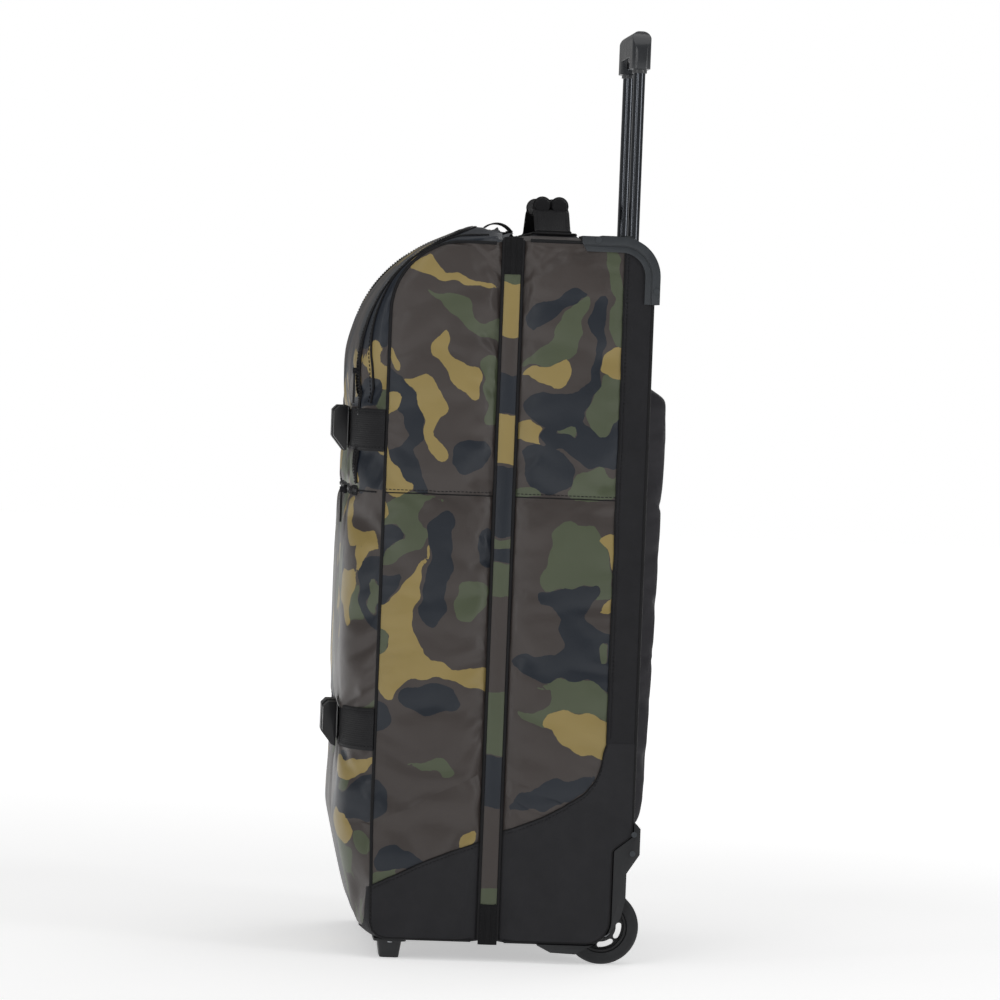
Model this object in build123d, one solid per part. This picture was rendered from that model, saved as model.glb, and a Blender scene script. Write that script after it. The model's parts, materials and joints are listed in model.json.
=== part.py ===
from build123d import *
import os

os.makedirs("parts", exist_ok=True)

# A soft-sided rolling duffel that stands on two wheels and two feet. Millimetres, +Z up, the
# origin on the floor under the middle of the bag. The lid faces -Y, the trolley is at +Y, and
# the fabric hinge of the clamshell is on the +X side.

# ---------------------------------------------------------------- driving dimensions
half_width = 200          # fabric side panel, from the middle plane
half_depth = 174          # front of the strap buckles and crown of the back cover
zip_y = 4                 # plane in which the clamshell opens
strip_width = 19          # fabric strip that hinges the lid
base_z = 22               # underside of the fabric
wall = 4                  # padded fabric wall
boot_skin = 1.5           # extra layer of the black base panels

lid_rim_y = zip_y - strip_width / 2
rear_rim_y = zip_y + strip_width / 2
lid_edge_y = -121         # front edge of the lid's side panel
lid_crown = 34            # how far the front panel bulges past that edge
lid_edge_top = 748
lid_top_crown = 16
lid_edge_radius = 75      # rounded top front corner, at the side panel
lid_middle_radius = 145   # and in the middle plane

rear_edge_y = 151         # back of the side panel
rear_edge_top = 752
rear_top_crown = 6
rear_radius = 34
rear_step_y = 131         # the back steps in above the wheels
rear_step_z = 120
rear_base_radius = 25

wheel_y = 123.5
wheel_radius = 39
wheel_z = wheel_radius
wheel_x0, wheel_x1 = 167, 189
well_x0, well_x1 = 160, 195.5
well_radius = 46.5
well_clear_radius = 43
axle_radius = 4
bearing_radius = 11
bearing_width = 7

tube_y = 139.5
tube_x = 65
inner_tube = (19, 12)     # section across X and Y
outer_tube = (22, 14.6)
tube_gap = 0.3
tube_wall = 1.2
board_y = 128.8           # stiff board in front of the tubes
outer_tube_z = (137, 754.5)
inner_tube_z = (315, 946)
glide_length = 6
grip_top = 981
grip_half = 89
grip_depth = 20

haul_y = 51.5
haul_width = 41
haul_grip_half = 58
haul_lobe_radius = 9.5
haul_lobe_z = 792

strap_height = 44
strap_z = {"upper": 549, "lower": 238}
strap_gap = 1.9           # straps lie over the pocket zip
buckle_x = (60, 100, 128)

# lofted bodies: distance of each section from the middle plane, and its share of the crown
sections = ((half_width, 0.0), (half_width - 20, 0.62), (half_width - 70, 1.0))


# ---------------------------------------------------------------- helpers
def box(x0, x1, y0, y1, z0, z1):
    return Pos((x0 + x1) / 2, (y0 + y1) / 2, (z0 + z1) / 2) * Box(x1 - x0, y1 - y0, z1 - z0)


def outline(points, radii):
    return make_face(FilletPolyline(*points, radius=radii, close=True))


def along_x(face, x0, x1):
    return extrude(Plane.YZ.offset(x0) * face, amount=x1 - x0)


def along_y(face, y0, y1):
    return extrude(Plane.XZ.offset(-y1) * face, amount=y1 - y0)


def along_z(face, z0, z1):
    return extrude(Plane.XY.offset(z0) * face, amount=z1 - z0)


def rod_x(radius, x0, x1, y, z):
    return Pos((x0 + x1) / 2, y, z) * Rot(0, 90, 0) * Cylinder(radius, x1 - x0)


def rod_z(radius, x, y, z0, z1):
    return Pos(x, y, (z0 + z1) / 2) * Cylinder(radius, z1 - z0)


def oval_z(size, x, y, z0, z1, grow=0.0):
    return Pos(x, y, 0) * along_z(SlotOverall(size[0] + 2 * grow, size[1] + 2 * grow), z0, z1)


def mirrored(shape):
    return mirror(shape, Plane.YZ)


def both(shape):
    return Compound([*shape.solids(), *mirrored(shape).solids()])


def save(node, shape):
    export_step(shape, "parts/" + node + ".step")


def save_pair(name, shape):
    # the +X side is the bag's left as one pulls it, facing away from the lid
    save(name + "_left", shape)
    save(name + "_right", mirrored(shape))


# ---------------------------------------------------------------- clamshell bodies
def lid_outline(share, inset, rim=0.0):
    front = lid_edge_y - lid_crown * share + inset
    top = lid_edge_top + lid_top_crown * share - inset
    bottom = base_z + inset
    radius = lid_edge_radius + (lid_middle_radius - lid_edge_radius) * share - inset
    foot = lid_edge_y + 3 - 7 * share + inset
    rim_y = lid_rim_y + rim
    points = ((rim_y, bottom), (foot, bottom), (front, 140), (front, top), (rim_y, top))
    return outline(points, (0, 16 - inset / 2, 60, radius, 0))


def rear_outline(share, inset, rim=0.0):
    top = rear_edge_top + rear_top_crown * share - inset
    back = rear_edge_y - inset
    step = rear_step_y - inset
    bottom = base_z + inset
    rim_y = rear_rim_y - rim
    points = (
        (rim_y, bottom), (step, bottom), (step, rear_step_z), (back, rear_step_z + 16),
        (back, top), (rim_y, top),
    )
    return outline(points, (0, rear_base_radius - inset, 4, 4, rear_radius - inset, 0))


def crowned_body(profile, inset, rim=0.0):
    half = None
    for (x0, share0), (x1, share1) in zip(sections, sections[1:]):
        outer = x0 - inset if x0 == half_width else x0
        faces = [
            Plane.YZ.offset(outer) * profile(share0, inset, rim),
            Plane.YZ.offset(x1) * profile(share1, inset, rim),
        ]
        piece = loft(faces, ruled=True)
        half = piece if half is None else half + piece
    middle = along_x(profile(1.0, inset, rim), -sections[-1][0], sections[-1][0])
    return half + middle + mirrored(half)


def tub(profile):
    return crowned_body(profile, 0) - crowned_body(profile, wall, rim=6)


def wheel_wells(grow):
    well = rod_x(well_radius + grow, well_x0 - grow, well_x1 + grow, wheel_y, wheel_z)
    return both(well)


def tube_holes(grow):
    hole = oval_z(outer_tube, tube_x, tube_y, 600, 800, grow)
    return both(hole)


def boot(profile, region):
    skin = crowned_body(profile, -boot_skin) - crowned_body(profile, 0)
    return skin & along_x(region, -half_width - 10, half_width + 10)


def make_shells():
    rear = tub(rear_outline) - wheel_wells(0.5) - tube_holes(0.3)
    save("rear_shell", rear)
    save("lid_shell", tub(lid_outline))


def make_boots():
    rear_region = make_face(Polyline(
        (rear_rim_y, 0), (rear_edge_y + 5, 0), (rear_edge_y + 5, 215), (118, 215),
        (113, 195), (75, 168), (rear_rim_y, 134), close=True,
    ))
    lid_region = make_face(Polyline(
        (lid_rim_y, 0), (-200, 0), (-200, 62), (lid_edge_y, 76), (-100, 86), (-60, 104),
        (lid_rim_y, 126), close=True,
    ))
    cover_place = box(-160, 160, rear_edge_y - 1, half_depth, 132, 300)
    save("rear_boot", boot(rear_outline, rear_region) - wheel_wells(0.5) - cover_place)
    save("lid_boot", boot(lid_outline, lid_region))


# ---------------------------------------------------------------- clamshell zip and hinge
def rim_outline(inset):
    # rim of the opening seen from the front, with the hinge side left square
    flat = sections[-1][0]
    top = rear_edge_top + rear_top_crown - inset
    corner = rear_edge_top - inset
    side = -half_width + inset
    points = (
        (half_width, corner), (flat, top), (-flat, top), (side, corner),
        (side, base_z + inset), (half_width, base_z + inset),
    )
    return outline(points, (0, 0, 0, 10, 10, 0))


def rim_band(outer, inner, y0, y1):
    end_x = half_width - 10
    ring = along_y(rim_outline(outer), y0, y1) - along_y(rim_outline(inner), y0 - 1, y1 + 1)
    return ring - box(end_x, half_width + 10, y0 - 2, y1 + 2, 0, 900)


def make_main_zip():
    teeth = 2.3
    lid_tape = rim_band(1.0, 2.6, lid_rim_y, zip_y - teeth - 0.1)
    lid_teeth = rim_band(-1.2, 3.0, zip_y - teeth - 0.1, zip_y - 0.1)
    rear_tape = rim_band(1.0, 2.6, zip_y + teeth + 0.1, rear_rim_y)
    rear_teeth = rim_band(-1.2, 3.0, zip_y + 0.1, zip_y + teeth + 0.1)
    save("zip_chain_lid", lid_tape + lid_teeth)
    save("zip_chain_rear", rear_tape + rear_teeth)


def make_hinge_side():
    y0, y1 = lid_rim_y + 0.3, rear_rim_y - 0.3
    low, high = 60, 716
    save("hinge_strip", box(half_width - 3, half_width, y0, y1, low, high))
    garages = box(half_width - 3, half_width, y0, y1, high + 0.2, rear_edge_top + 2)
    garages += box(half_width - 3, half_width, y0, y1, base_z - 1, low - 0.2)
    save("zip_garages", garages)


def slider_and_puller(side):
    x = 16 * side
    body = box(x - 5, x + 5, zip_y - 5.5, zip_y + 6.5, 759.8, 762.2)
    body += box(x - 1.5, x + 1.5, zip_y - 2, zip_y + 6, 762.2, 763.2)
    pin_y, pin_z = zip_y + 8, 763
    ears = box(x - 5, x - 3.2, zip_y + 5, pin_y + 2, 759.8, pin_z + 2)
    ears += box(x + 3.2, x + 5, zip_y + 5, pin_y + 2, 759.8, pin_z + 2)
    hole = rod_x(1.05, x - 6, x + 6, pin_y, pin_z)
    slider = body + ears - hole
    arc = ThreePointArc((pin_y + 0.5, pin_z), (zip_y + 0.5, 770), (zip_y - 19, 766.6))
    strap = make_face(Wire([
        arc, Line(arc @ 1, (zip_y - 19, 768.6)),
        ThreePointArc((zip_y - 19, 768.6), (zip_y, 772), (pin_y + 2, pin_z + 1)),
        Line((pin_y + 2, pin_z + 1), arc @ 0),
    ]))
    puller = along_x(strap, x - 2.9, x + 2.9) + rod_x(1, x - 4.9, x + 4.9, pin_y, pin_z)
    return slider, puller


def make_main_sliders():
    for side, name in ((1, "left"), (-1, "right")):
        slider, puller = slider_and_puller(side)
        save("main_slider_" + name, slider)
        save("main_puller_" + name, puller)


# ---------------------------------------------------------------- back of the bag
def make_back():
    board = outline(((-188, 160), (188, 160), (188, 735), (-188, 735)), (12, 12, 12, 12))
    shell_gap = 0.2
    save("back_board", along_y(board, board_y, board_y + 2.5))
    cover_side = outline(
        ((rear_edge_y + shell_gap, 137), (163, 137), (half_depth - 3, 480), (half_depth, 560),
         (half_depth, 588), (163, 606), (rear_edge_y + shell_gap, 606)),
        (0, 4, 0, 0, 6, 6, 0),
    )
    cover_front = outline(((-158, 137), (158, 137), (158, 606), (-158, 606)), (22, 22, 30, 30))
    cover = along_x(cover_side, -158, 158)
    cover &= along_y(cover_front, rear_edge_y, half_depth + 1)
    save("back_cover", cover)


def guard_solid():
    front_y, low_z = 75, 690
    over = 7
    under = 9
    outer_x = half_width + 3.5
    shape = along_x(rear_outline(0, -over), 150, outer_x)
    shape -= along_x(rear_outline(0, under, rim=20), 149, outer_x + 1)
    shape -= crowned_body(rear_outline, -0.3)
    shape &= box(149, outer_x + 1, front_y, 160, low_z, 770)
    tail = make_face(Polyline((60, 735), (front_y + 10, 735), (front_y, 752), (60, 752), close=True))
    shape -= along_x(tail, 149, outer_x + 1)
    groove = along_x(rear_outline(0, 1.6), outer_x - 1, outer_x + 1)
    groove -= along_x(rear_outline(0, 3.4), outer_x - 2, outer_x + 2)
    return shape - groove


def bezel_solid():
    shape = along_x(rear_outline(1, -4), -98, 98) & box(-98, 98, 104, 160, 722, 770)
    collar = oval_z((34, 25), tube_x, tube_y - 1.5, 735, 763)
    collar &= along_x(rear_outline(1, -9), 0, 98)
    shape += both(collar)
    shape -= crowned_body(rear_outline, -0.2)
    return shape - both(oval_z(outer_tube, tube_x, tube_y, 700, outer_tube_z[1] + 0.2, 0.2)) \
        - both(oval_z(inner_tube, tube_x, tube_y, 700, 770, tube_gap))


def make_corner_hardware():
    save_pair("corner_guard", guard_solid())
    save("handle_bezel", bezel_solid())
    face_x = half_width + 3.5
    screws = rod_x(3.2, face_x, face_x + 1, 92, 755.4)
    screws += rod_x(3.2, face_x, face_x + 1, 154.4, 704)
    screws += rod_x(3, face_x, face_x + 1, 153, 138)
    screws += rod_x(3, face_x, face_x + 1, 152, 118)
    save("corner_screws", both(screws))


# ---------------------------------------------------------------- trolley
def make_outer_tubes():
    tube = oval_z(outer_tube, tube_x, tube_y, *outer_tube_z)
    tube -= oval_z(inner_tube, tube_x, tube_y, 100, 800, tube_gap)
    save_pair("outer_tube", tube)
    back_inside = rear_edge_y - wall
    bracket = box(-92, 92, board_y, back_inside - 0.1, 137, 158)
    bracket -= both(oval_z(outer_tube, tube_x, tube_y, 136, 160, 0.05))
    bracket &= crowned_body(rear_outline, wall + 0.1, rim=6)
    save("tube_bracket", bracket)


def make_inner_tubes():
    tube = oval_z(inner_tube, tube_x, tube_y, *inner_tube_z)
    tube -= oval_z(inner_tube, tube_x, tube_y, inner_tube_z[0] - 1, inner_tube_z[1] + 1, -tube_wall)
    for side in (-1, 1):
        flute = rod_z(1.1, tube_x, tube_y + side * (inner_tube[1] / 2 + 0.5), *inner_tube_z)
        tube -= flute
    save_pair("inner_tube", tube)
    plug = oval_z(inner_tube, tube_x, tube_y, inner_tube_z[0] - glide_length, inner_tube_z[0])
    plug -= rod_z(2.6, tube_x, tube_y, 200, 400)
    save("tube_glides", both(plug))


def grip_solid():
    arm_low = 940
    arm = box(grip_half - 34, grip_half, tube_y - grip_depth / 2, tube_y + grip_depth / 2,
              arm_low, grip_top)
    bar = box(0, grip_half - 30, tube_y - grip_depth / 2, tube_y + grip_depth / 2,
              grip_top - 27, grip_top)
    half = arm + bar
    body = half + mirrored(half)
    profile = outline(
        ((-grip_half, arm_low), (-grip_half, grip_top), (grip_half, grip_top),
         (grip_half, arm_low)), (0, 26, 26, 0))
    body &= along_y(profile, 100, 200)
    rounded = outline(
        ((tube_y - 10, arm_low), (tube_y - 10, grip_top), (tube_y + 10, grip_top),
         (tube_y + 10, arm_low)), (0, 9, 9, 0))
    body &= along_x(rounded, -200, 200)
    plan = outline(
        ((-grip_half, tube_y - 10), (grip_half, tube_y - 10), (grip_half, tube_y + 10),
         (-grip_half, tube_y + 10)), (8, 8, 8, 8))
    body &= along_z(plan, 900, 1000)
    sleeve = oval_z((inner_tube[0] + 4, inner_tube[1] + 3), tube_x, tube_y, arm_low - 4, arm_low)
    body += both(sleeve)
    body -= both(oval_z(inner_tube, tube_x, tube_y, 900, inner_tube_z[1]))
    return body


def make_grip():
    cavity_top = grip_top - 6
    body = grip_solid()
    body -= box(-22, 22, tube_y - 6, tube_y + 6, 940, cavity_top)
    body -= box(-tube_x - 3, tube_x + 3, tube_y - 3.2, tube_y + 3.2, inner_tube_z[1] - 1, cavity_top)
    save("trolley_grip", body)
    button = box(-21.6, 21.6, tube_y - 5.6, tube_y + 5.6, 951, grip_top - 12)
    button = fillet(button.edges().filter_by(Axis.Y).group_by(Axis.Z)[0], 4)
    save("release_button", button)
    rod = box(21.6, tube_x + 2.4, tube_y - 2.6, tube_y + 2.6, 962, 968)
    rod += rod_z(2.4, tube_x, tube_y, inner_tube_z[0] - glide_length + 1, 962)
    save("release_rods", both(rod))


# ---------------------------------------------------------------- haul handle
def make_haul_handle():
    base = outline(
        ((-116, haul_y - 24), (116, haul_y - 24), (116, haul_y + 25.5), (-116, haul_y + 25.5)),
        (8, 8, 8, 8))
    patch = along_z(base, 740, 764) - crowned_body(rear_outline, -0.2)
    save("haul_base", patch)
    y0, y1 = haul_y - haul_width / 2, haul_y + haul_width / 2
    slope = make_face(Polyline(
        (104, 764.2), (108, 764.2), (haul_grip_half + 4, 790), (haul_grip_half + 1, 787.5),
        close=True))
    save("haul_risers", both(along_y(slope, y0, y1)))
    lobes = rod_x(haul_lobe_radius, -haul_grip_half, haul_grip_half, haul_y - 9.4, haul_lobe_z)
    lobes += rod_x(haul_lobe_radius, -haul_grip_half, haul_grip_half, haul_y + 9.4, haul_lobe_z)
    lobes += box(-haul_grip_half, haul_grip_half, y0 + 6, y1 - 6, haul_lobe_z - 8, haul_lobe_z + 3)
    save("haul_grip", lobes)


# ---------------------------------------------------------------- wheels and feet
def housing_solid():
    x0, x1 = 158, half_width + 3.5
    plate = make_face(Polyline(
        (56, 19), (70, 12), (96, 11), (117, 23), (131, 34), (142, 50), (146.5, 70),
        (146.5, 97), (159.5, 117), (159.5, 144), (155, 149), (140, 149), (110, 140), (56, 40),
        close=True))
    band = along_x(plate, x0, x1) - along_x(rear_outline(0, -boot_skin - 0.3), x0 - 1, x1 + 1)
    well = rod_x(well_radius, well_x0, well_x1, wheel_y, wheel_z)
    well &= along_x(rear_outline(0, -boot_skin - 0.4, rim=20), 100, 210)
    shape = band + well
    shape -= rod_x(well_clear_radius, 163.5, 192.5, wheel_y, wheel_z)
    return shape - rod_x(axle_radius, 150, 195, wheel_y, wheel_z)


def rim_solid():
    middle = (wheel_x0 + wheel_x1) / 2
    hub = rod_x(14.5, wheel_x0, wheel_x1, wheel_y, wheel_z)
    hub += rod_x(27, middle - 5, middle + 5, wheel_y, wheel_z)
    hub += rod_x(27, wheel_x0 + 2, wheel_x1 - 2, wheel_y, wheel_z) \
        - rod_x(23.5, wheel_x0, wheel_x1, wheel_y, wheel_z)
    spokes = 6
    for turn in range(spokes):
        window = SlotArc(CenterArc((0, 0), 19, turn * 360 / spokes, 34), 6.4)
        cut = Pos(middle, wheel_y, wheel_z) * Rot(0, 90, 0) * extrude(window, amount=8, both=True)
        hub -= cut
    hub -= rod_x(bearing_radius, wheel_x0 - 1, wheel_x0 + bearing_width, wheel_y, wheel_z)
    hub -= rod_x(bearing_radius, wheel_x1 - bearing_width, wheel_x1 + 1, wheel_y, wheel_z)
    return hub - rod_x(8, wheel_x0 - 1, wheel_x1 + 1, wheel_y, wheel_z)


def tyre_solid():
    ring = rod_x(wheel_radius, wheel_x0, wheel_x1, wheel_y, wheel_z)
    ring = fillet(ring.edges(), 4)
    return ring - rod_x(27, wheel_x0 - 1, wheel_x1 + 1, wheel_y, wheel_z)


def bearing_solids():
    bearings = rod_x(bearing_radius, wheel_x0, wheel_x0 + bearing_width, wheel_y, wheel_z)
    bearings += rod_x(bearing_radius, wheel_x1 - bearing_width, wheel_x1, wheel_y, wheel_z)
    return bearings - rod_x(axle_radius + 0.05, wheel_x0 - 1, wheel_x1 + 1, wheel_y, wheel_z)


def make_wheels():
    save_pair("wheel_housing", housing_solid())
    save_pair("wheel_rim", rim_solid())
    save_pair("tyre", tyre_solid())
    save_pair("wheel_bearings", bearing_solids())
    save("axles", both(rod_x(axle_radius, 160.5, 195, wheel_y, wheel_z)))


def foot_solid():
    x, y = 166, -97
    top = base_z - boot_skin
    lower = outline(((-19, -10), (19, -10), (19, 10), (-19, 10)), (5, 5, 5, 5))
    upper = outline(((-22, -13), (22, -13), (22, 13), (-22, 13)), (6, 6, 6, 6))
    leg = loft([Plane.XY.offset(0) * lower, Plane.XY.offset(top) * upper])
    flange = along_z(outline(((-27, -17), (27, -17), (27, 17), (-27, 17)), (7, 7, 7, 7)), top - 3, top)
    return Pos(x, y, 0) * (leg + flange)


def make_feet():
    save_pair("foot", foot_solid())
    rivet = rod_z(2.6, 166 - 24.5, -97, base_z - boot_skin - 4, base_z - boot_skin - 3)
    rivet += rod_z(2.6, 166 + 24.5, -97, base_z - boot_skin - 4, base_z - boot_skin - 3)
    save("foot_rivets", both(rivet))


# ---------------------------------------------------------------- straps and pocket zips
def front_layer(gap, thickness):
    return crowned_body(lid_outline, -gap - thickness) - crowned_body(lid_outline, -gap)


def make_front_straps():
    layer = front_layer(strap_gap, 2)
    split = (buckle_x[0] + buckle_x[1]) / 2
    for name, z in strap_z.items():
        z0, z1 = z - strap_height / 2, z + strap_height / 2
        fixed = layer & box(-half_width - 3, split, -200, lid_edge_y + 3, z0, z1)
        loose = layer & box(buckle_x[1] + 4, half_width - 15, -200, lid_edge_y + 3, z0, z1)
        save("front_strap_" + name, fixed)
        save("strap_tail_" + name, loose)
        make_buckle(name, z)


def buckle_profile(front, back, low, high):
    # the lower front edge slants away further than the upper one
    return outline(
        ((front, low + 15), (front, high - 5), (front + 5, high), (back, high), (back, low),
         (front + 12, low)), (3, 2, 2, 0, 0, 3))


def make_buckle(name, z):
    front, back = -half_depth, lid_edge_y - lid_crown - strap_gap - 2.1
    x0, x1, x2 = buckle_x
    high = strap_height / 2 + 2
    shell = along_x(buckle_profile(front, back, z - high, z + high), x0, x1)
    cavity = box(x0 + 4, x1 + 1, front + 4, back - 3, z - 10, z + high - 5)
    save("buckle_female_" + name, shell - cavity)
    body = along_x(buckle_profile(front + 1, back, z - high + 1, z + high - 1), x1 + 0.4, x2)
    body -= box(x2 - 9, x2 - 4, front - 1, back + 1, z - 19, z + 19)
    prongs = Compound([])
    for level in (-5, 4.5, 14):
        prongs += box(x1 - 30, x1 + 1, front + 4.6, back - 3.6, z + level - 2.5, z + level + 2.5)
    save("buckle_male_" + name, body + prongs)


def make_pocket_zips():
    layer = front_layer(0.3, 1.3)
    leg = box(160, 170, -200, -28, 492, 800)
    upper = both(leg) + box(-170, 170, -40, -28, 700, 800)
    save("pocket_zip_upper", layer & upper)
    save("pocket_zip_lower", layer & box(-170, 170, -200, lid_edge_y, 480, 490))


def make_pocket_sliders():
    for name, (x, y, z), width_x, height_z in (
        ("upper", (165, -151.4, 606), 4.5, 14),
        ("lower", (118, -158.6, 480.5), 7, 9),
    ):
        pin_y, pin_z = y - 3.6, z + 4
        slider = box(x - width_x, x + width_x, y - 1.8, y + 1.8, z, z + height_z)
        for ear_x in (x - 4.5, x + 3.4):
            slider += box(ear_x, ear_x + 1.1, y - 5.4, y, z + 1, z + 7)
        slider -= rod_x(1.05, x - 10, x + 10, pin_y, pin_z)
        puller = box(x - 3, x + 3, pin_y - 1.1, pin_y + 1.1, pin_z - 34, pin_z + 1.2)
        puller += rod_x(1, x - 4.4, x + 4.4, pin_y, pin_z)
        save("pocket_slider_" + name, slider)
        save("pocket_puller_" + name, puller)


# ---------------------------------------------------------------- inside
def make_inside():
    low, high = base_z + wall, rear_edge_top + rear_top_crown - wall
    tray = outline(((-194, 15), (194, 15), (194, 124), (-194, 124)), (6, 6, 14, 14))
    board = along_z(tray, low, low + 2) - wheel_wells(0.8)
    board &= crowned_body(rear_outline, wall + 0.1, rim=6)
    save("base_board", board)
    strap = box(-19, 19, board_y - 1.6, board_y - 0.2, 180, high - 40)
    save("tie_straps", Pos(-80, 0, 0) * strap + Pos(80, 0, 0) * strap)
    front_inside = lid_edge_y - lid_crown + wall
    pocket = outline(((-125, 160), (125, 160), (125, 560), (-125, 560)), (20, 20, 20, 20))
    save("mesh_pocket", along_y(pocket, front_inside + 0.3, front_inside + 5.3))


make_shells()
make_boots()
make_main_zip()
make_hinge_side()
make_main_sliders()
make_back()
make_corner_hardware()
make_outer_tubes()
make_inner_tubes()
make_grip()
make_haul_handle()
make_wheels()
make_feet()
make_front_straps()
make_pocket_zips()
make_pocket_sliders()
make_inside()
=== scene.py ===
import contextlib
import json
import math
import random

import bpy
import bmesh
import numpy as np
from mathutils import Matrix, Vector
from mathutils.bvhtree import BVHTree
from mathutils.interpolate import poly_3d_calc

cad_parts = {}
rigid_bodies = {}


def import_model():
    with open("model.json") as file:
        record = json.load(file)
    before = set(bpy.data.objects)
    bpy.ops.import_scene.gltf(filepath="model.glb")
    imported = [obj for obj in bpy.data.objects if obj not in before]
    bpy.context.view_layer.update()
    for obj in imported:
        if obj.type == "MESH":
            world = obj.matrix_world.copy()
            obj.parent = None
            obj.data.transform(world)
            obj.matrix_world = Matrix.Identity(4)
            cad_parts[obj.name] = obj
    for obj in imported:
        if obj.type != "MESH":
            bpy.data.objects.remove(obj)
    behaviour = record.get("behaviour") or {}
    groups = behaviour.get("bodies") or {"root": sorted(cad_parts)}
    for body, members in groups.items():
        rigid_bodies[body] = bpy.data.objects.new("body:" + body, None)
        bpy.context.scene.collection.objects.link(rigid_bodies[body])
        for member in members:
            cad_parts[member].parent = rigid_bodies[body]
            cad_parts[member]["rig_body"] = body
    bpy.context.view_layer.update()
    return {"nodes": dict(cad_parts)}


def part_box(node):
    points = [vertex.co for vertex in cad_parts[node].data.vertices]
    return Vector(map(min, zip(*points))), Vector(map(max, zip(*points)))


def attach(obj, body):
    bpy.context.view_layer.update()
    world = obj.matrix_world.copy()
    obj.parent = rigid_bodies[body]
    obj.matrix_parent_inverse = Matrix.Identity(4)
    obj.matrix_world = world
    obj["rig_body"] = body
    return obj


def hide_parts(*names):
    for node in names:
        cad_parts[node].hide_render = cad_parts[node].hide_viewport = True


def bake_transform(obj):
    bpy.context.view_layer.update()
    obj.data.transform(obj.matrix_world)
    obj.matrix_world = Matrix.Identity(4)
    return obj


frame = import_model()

# Lengths are in millimetres until a mesh is made, in the frame of the CAD model: +X is the side
# with the fabric hinge, -Y the lid, +Y the trolley, +Z up.
MM = 0.001


def node_box(node):
    low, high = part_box(node)
    return np.array(low) / MM, np.array(high) / MM


# ---------------------------------------------------------------- sizes
# Boxes are read from the frame. The plain numbers describe the bag between them.
lid_low, lid_high = node_box("lid_shell")
rear_low, rear_high = node_box("rear_shell")
half_width = lid_high[0]
base_z = lid_low[2]
lid_rim_y = lid_high[1]
rear_rim_y = rear_low[1]
zip_y = (lid_rim_y + rear_rim_y) / 2
lid_crown, lid_top_crown = 34, 16
fabric_crown = 31          # the padding adds the rest of the crown
lid_edge_y = lid_low[1] + lid_crown
lid_edge_top = lid_high[2] - lid_top_crown
lid_edge_radius, lid_middle_radius = 75, 160
rear_top_crown = 6
rear_edge_top = rear_high[2] - rear_top_crown
rear_edge_y = rear_high[1]
rear_step_y, rear_step_z = 131, 120
crown_flat = 130           # half width of the level part of the top
wall = 4                   # from the fabric to the lining
seam_z = 485               # seam across the middle of both halves
side_strip_y = 121         # where the black strips beside the back begin

wheel_low, wheel_high = node_box("tyre_left")
wheel_y, wheel_z = (wheel_low[1] + wheel_high[1]) / 2, (wheel_low[2] + wheel_high[2]) / 2
well_radius = 47.2         # slightly wider than the wheel well of the CAD model
well_x = (159.5, 196.3)
studio_lift = 0.8          # share of each colour that the white studio leaves for the material

scene = bpy.context.scene


# ---------------------------------------------------------------- geometry helpers
def unit(v):
    return v / np.linalg.norm(v)


def steps(a, b, count):
    return [a + (b - a) * k / count for k in range(1, count + 1)]


def smooth(t):
    t = np.clip(t, 0, 1)
    return t * t * (3 - 2 * t)


def rounded_path(corners, radii, counts, arc_steps):
    """Points along straight runs with counts steps each, joined by arcs of the given radii."""
    corners = [np.array(c, float) for c in corners]
    path = [corners[0]]
    for i in range(1, len(corners)):
        here = corners[i]
        if not radii[i]:
            path += steps(path[-1], here, counts[i - 1])
            continue
        back, ahead = unit(corners[i - 1] - here), unit(corners[i + 1] - here)
        half = math.acos(np.clip(back @ ahead, -1, 1)) / 2
        reach = radii[i] / math.tan(half)
        centre = here + unit(back + ahead) * radii[i] / math.sin(half)
        path += steps(path[-1], here + back * reach, counts[i - 1])
        spoke, end = path[-1] - centre, here + ahead * reach - centre
        turn = math.atan2(spoke[0] * end[1] - spoke[1] * end[0], spoke @ end)
        for k in range(1, arc_steps[i] + 1):
            c, s = math.cos(turn * k / arc_steps[i]), math.sin(turn * k / arc_steps[i])
            path.append(centre + np.array((spoke[0] * c - spoke[1] * s, spoke[0] * s + spoke[1] * c)))
    return np.array(path)


def rectangle_ring(x0, x1, y0, y1, radius, counts, arc_steps):
    """A rounded rectangle, from the middle of its lower edge round to there again."""
    corners = ((0, y0), (x1, y0), (x1, y1), (x0, y1), (x0, y0), (0, y0))
    return rounded_path(corners, (0, *[radius] * 4, 0), counts, (0, *[arc_steps] * 4, 0))


def run_length(points):
    """Length along a line up to each of its points."""
    return np.concatenate(([0], np.cumsum(np.linalg.norm(np.diff(points, axis=0), axis=1))))


def directions(points):
    ahead = np.gradient(points, axis=0)
    return ahead / np.linalg.norm(ahead, axis=1, keepdims=True)


def resampled(points, spacing):
    points = np.asarray(points, float)
    reach = run_length(points)
    count = max(2, int(round(reach[-1] / spacing)) + 1)
    at = np.linspace(0, reach[-1], count)
    return np.stack([np.interp(at, reach, points[:, k]) for k in range(points.shape[1])], 1)


def chaikin(points, rounds=2):
    points = np.asarray(points, float)
    for _ in range(rounds):
        after = np.roll(points, -1, axis=0)
        points = np.stack([points * 0.78 + after * 0.22, points * 0.22 + after * 0.78], 1).reshape(-1, 2)
    return points


def srgb(*levels):
    """Linear colour of an 8-bit sRGB one, held back because the white studio lifts every tone."""
    parts = [c / 255 for c in levels]
    linear = (c / 12.92 if c <= 0.04045 else ((c + 0.055) / 1.055) ** 2.4 for c in parts)
    return tuple(c * studio_lift for c in linear) + (1.0,)


def placed(name, data):
    """A new object in the scene."""
    obj = bpy.data.objects.new(name, data)
    scene.collection.objects.link(obj)
    return obj


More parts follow.
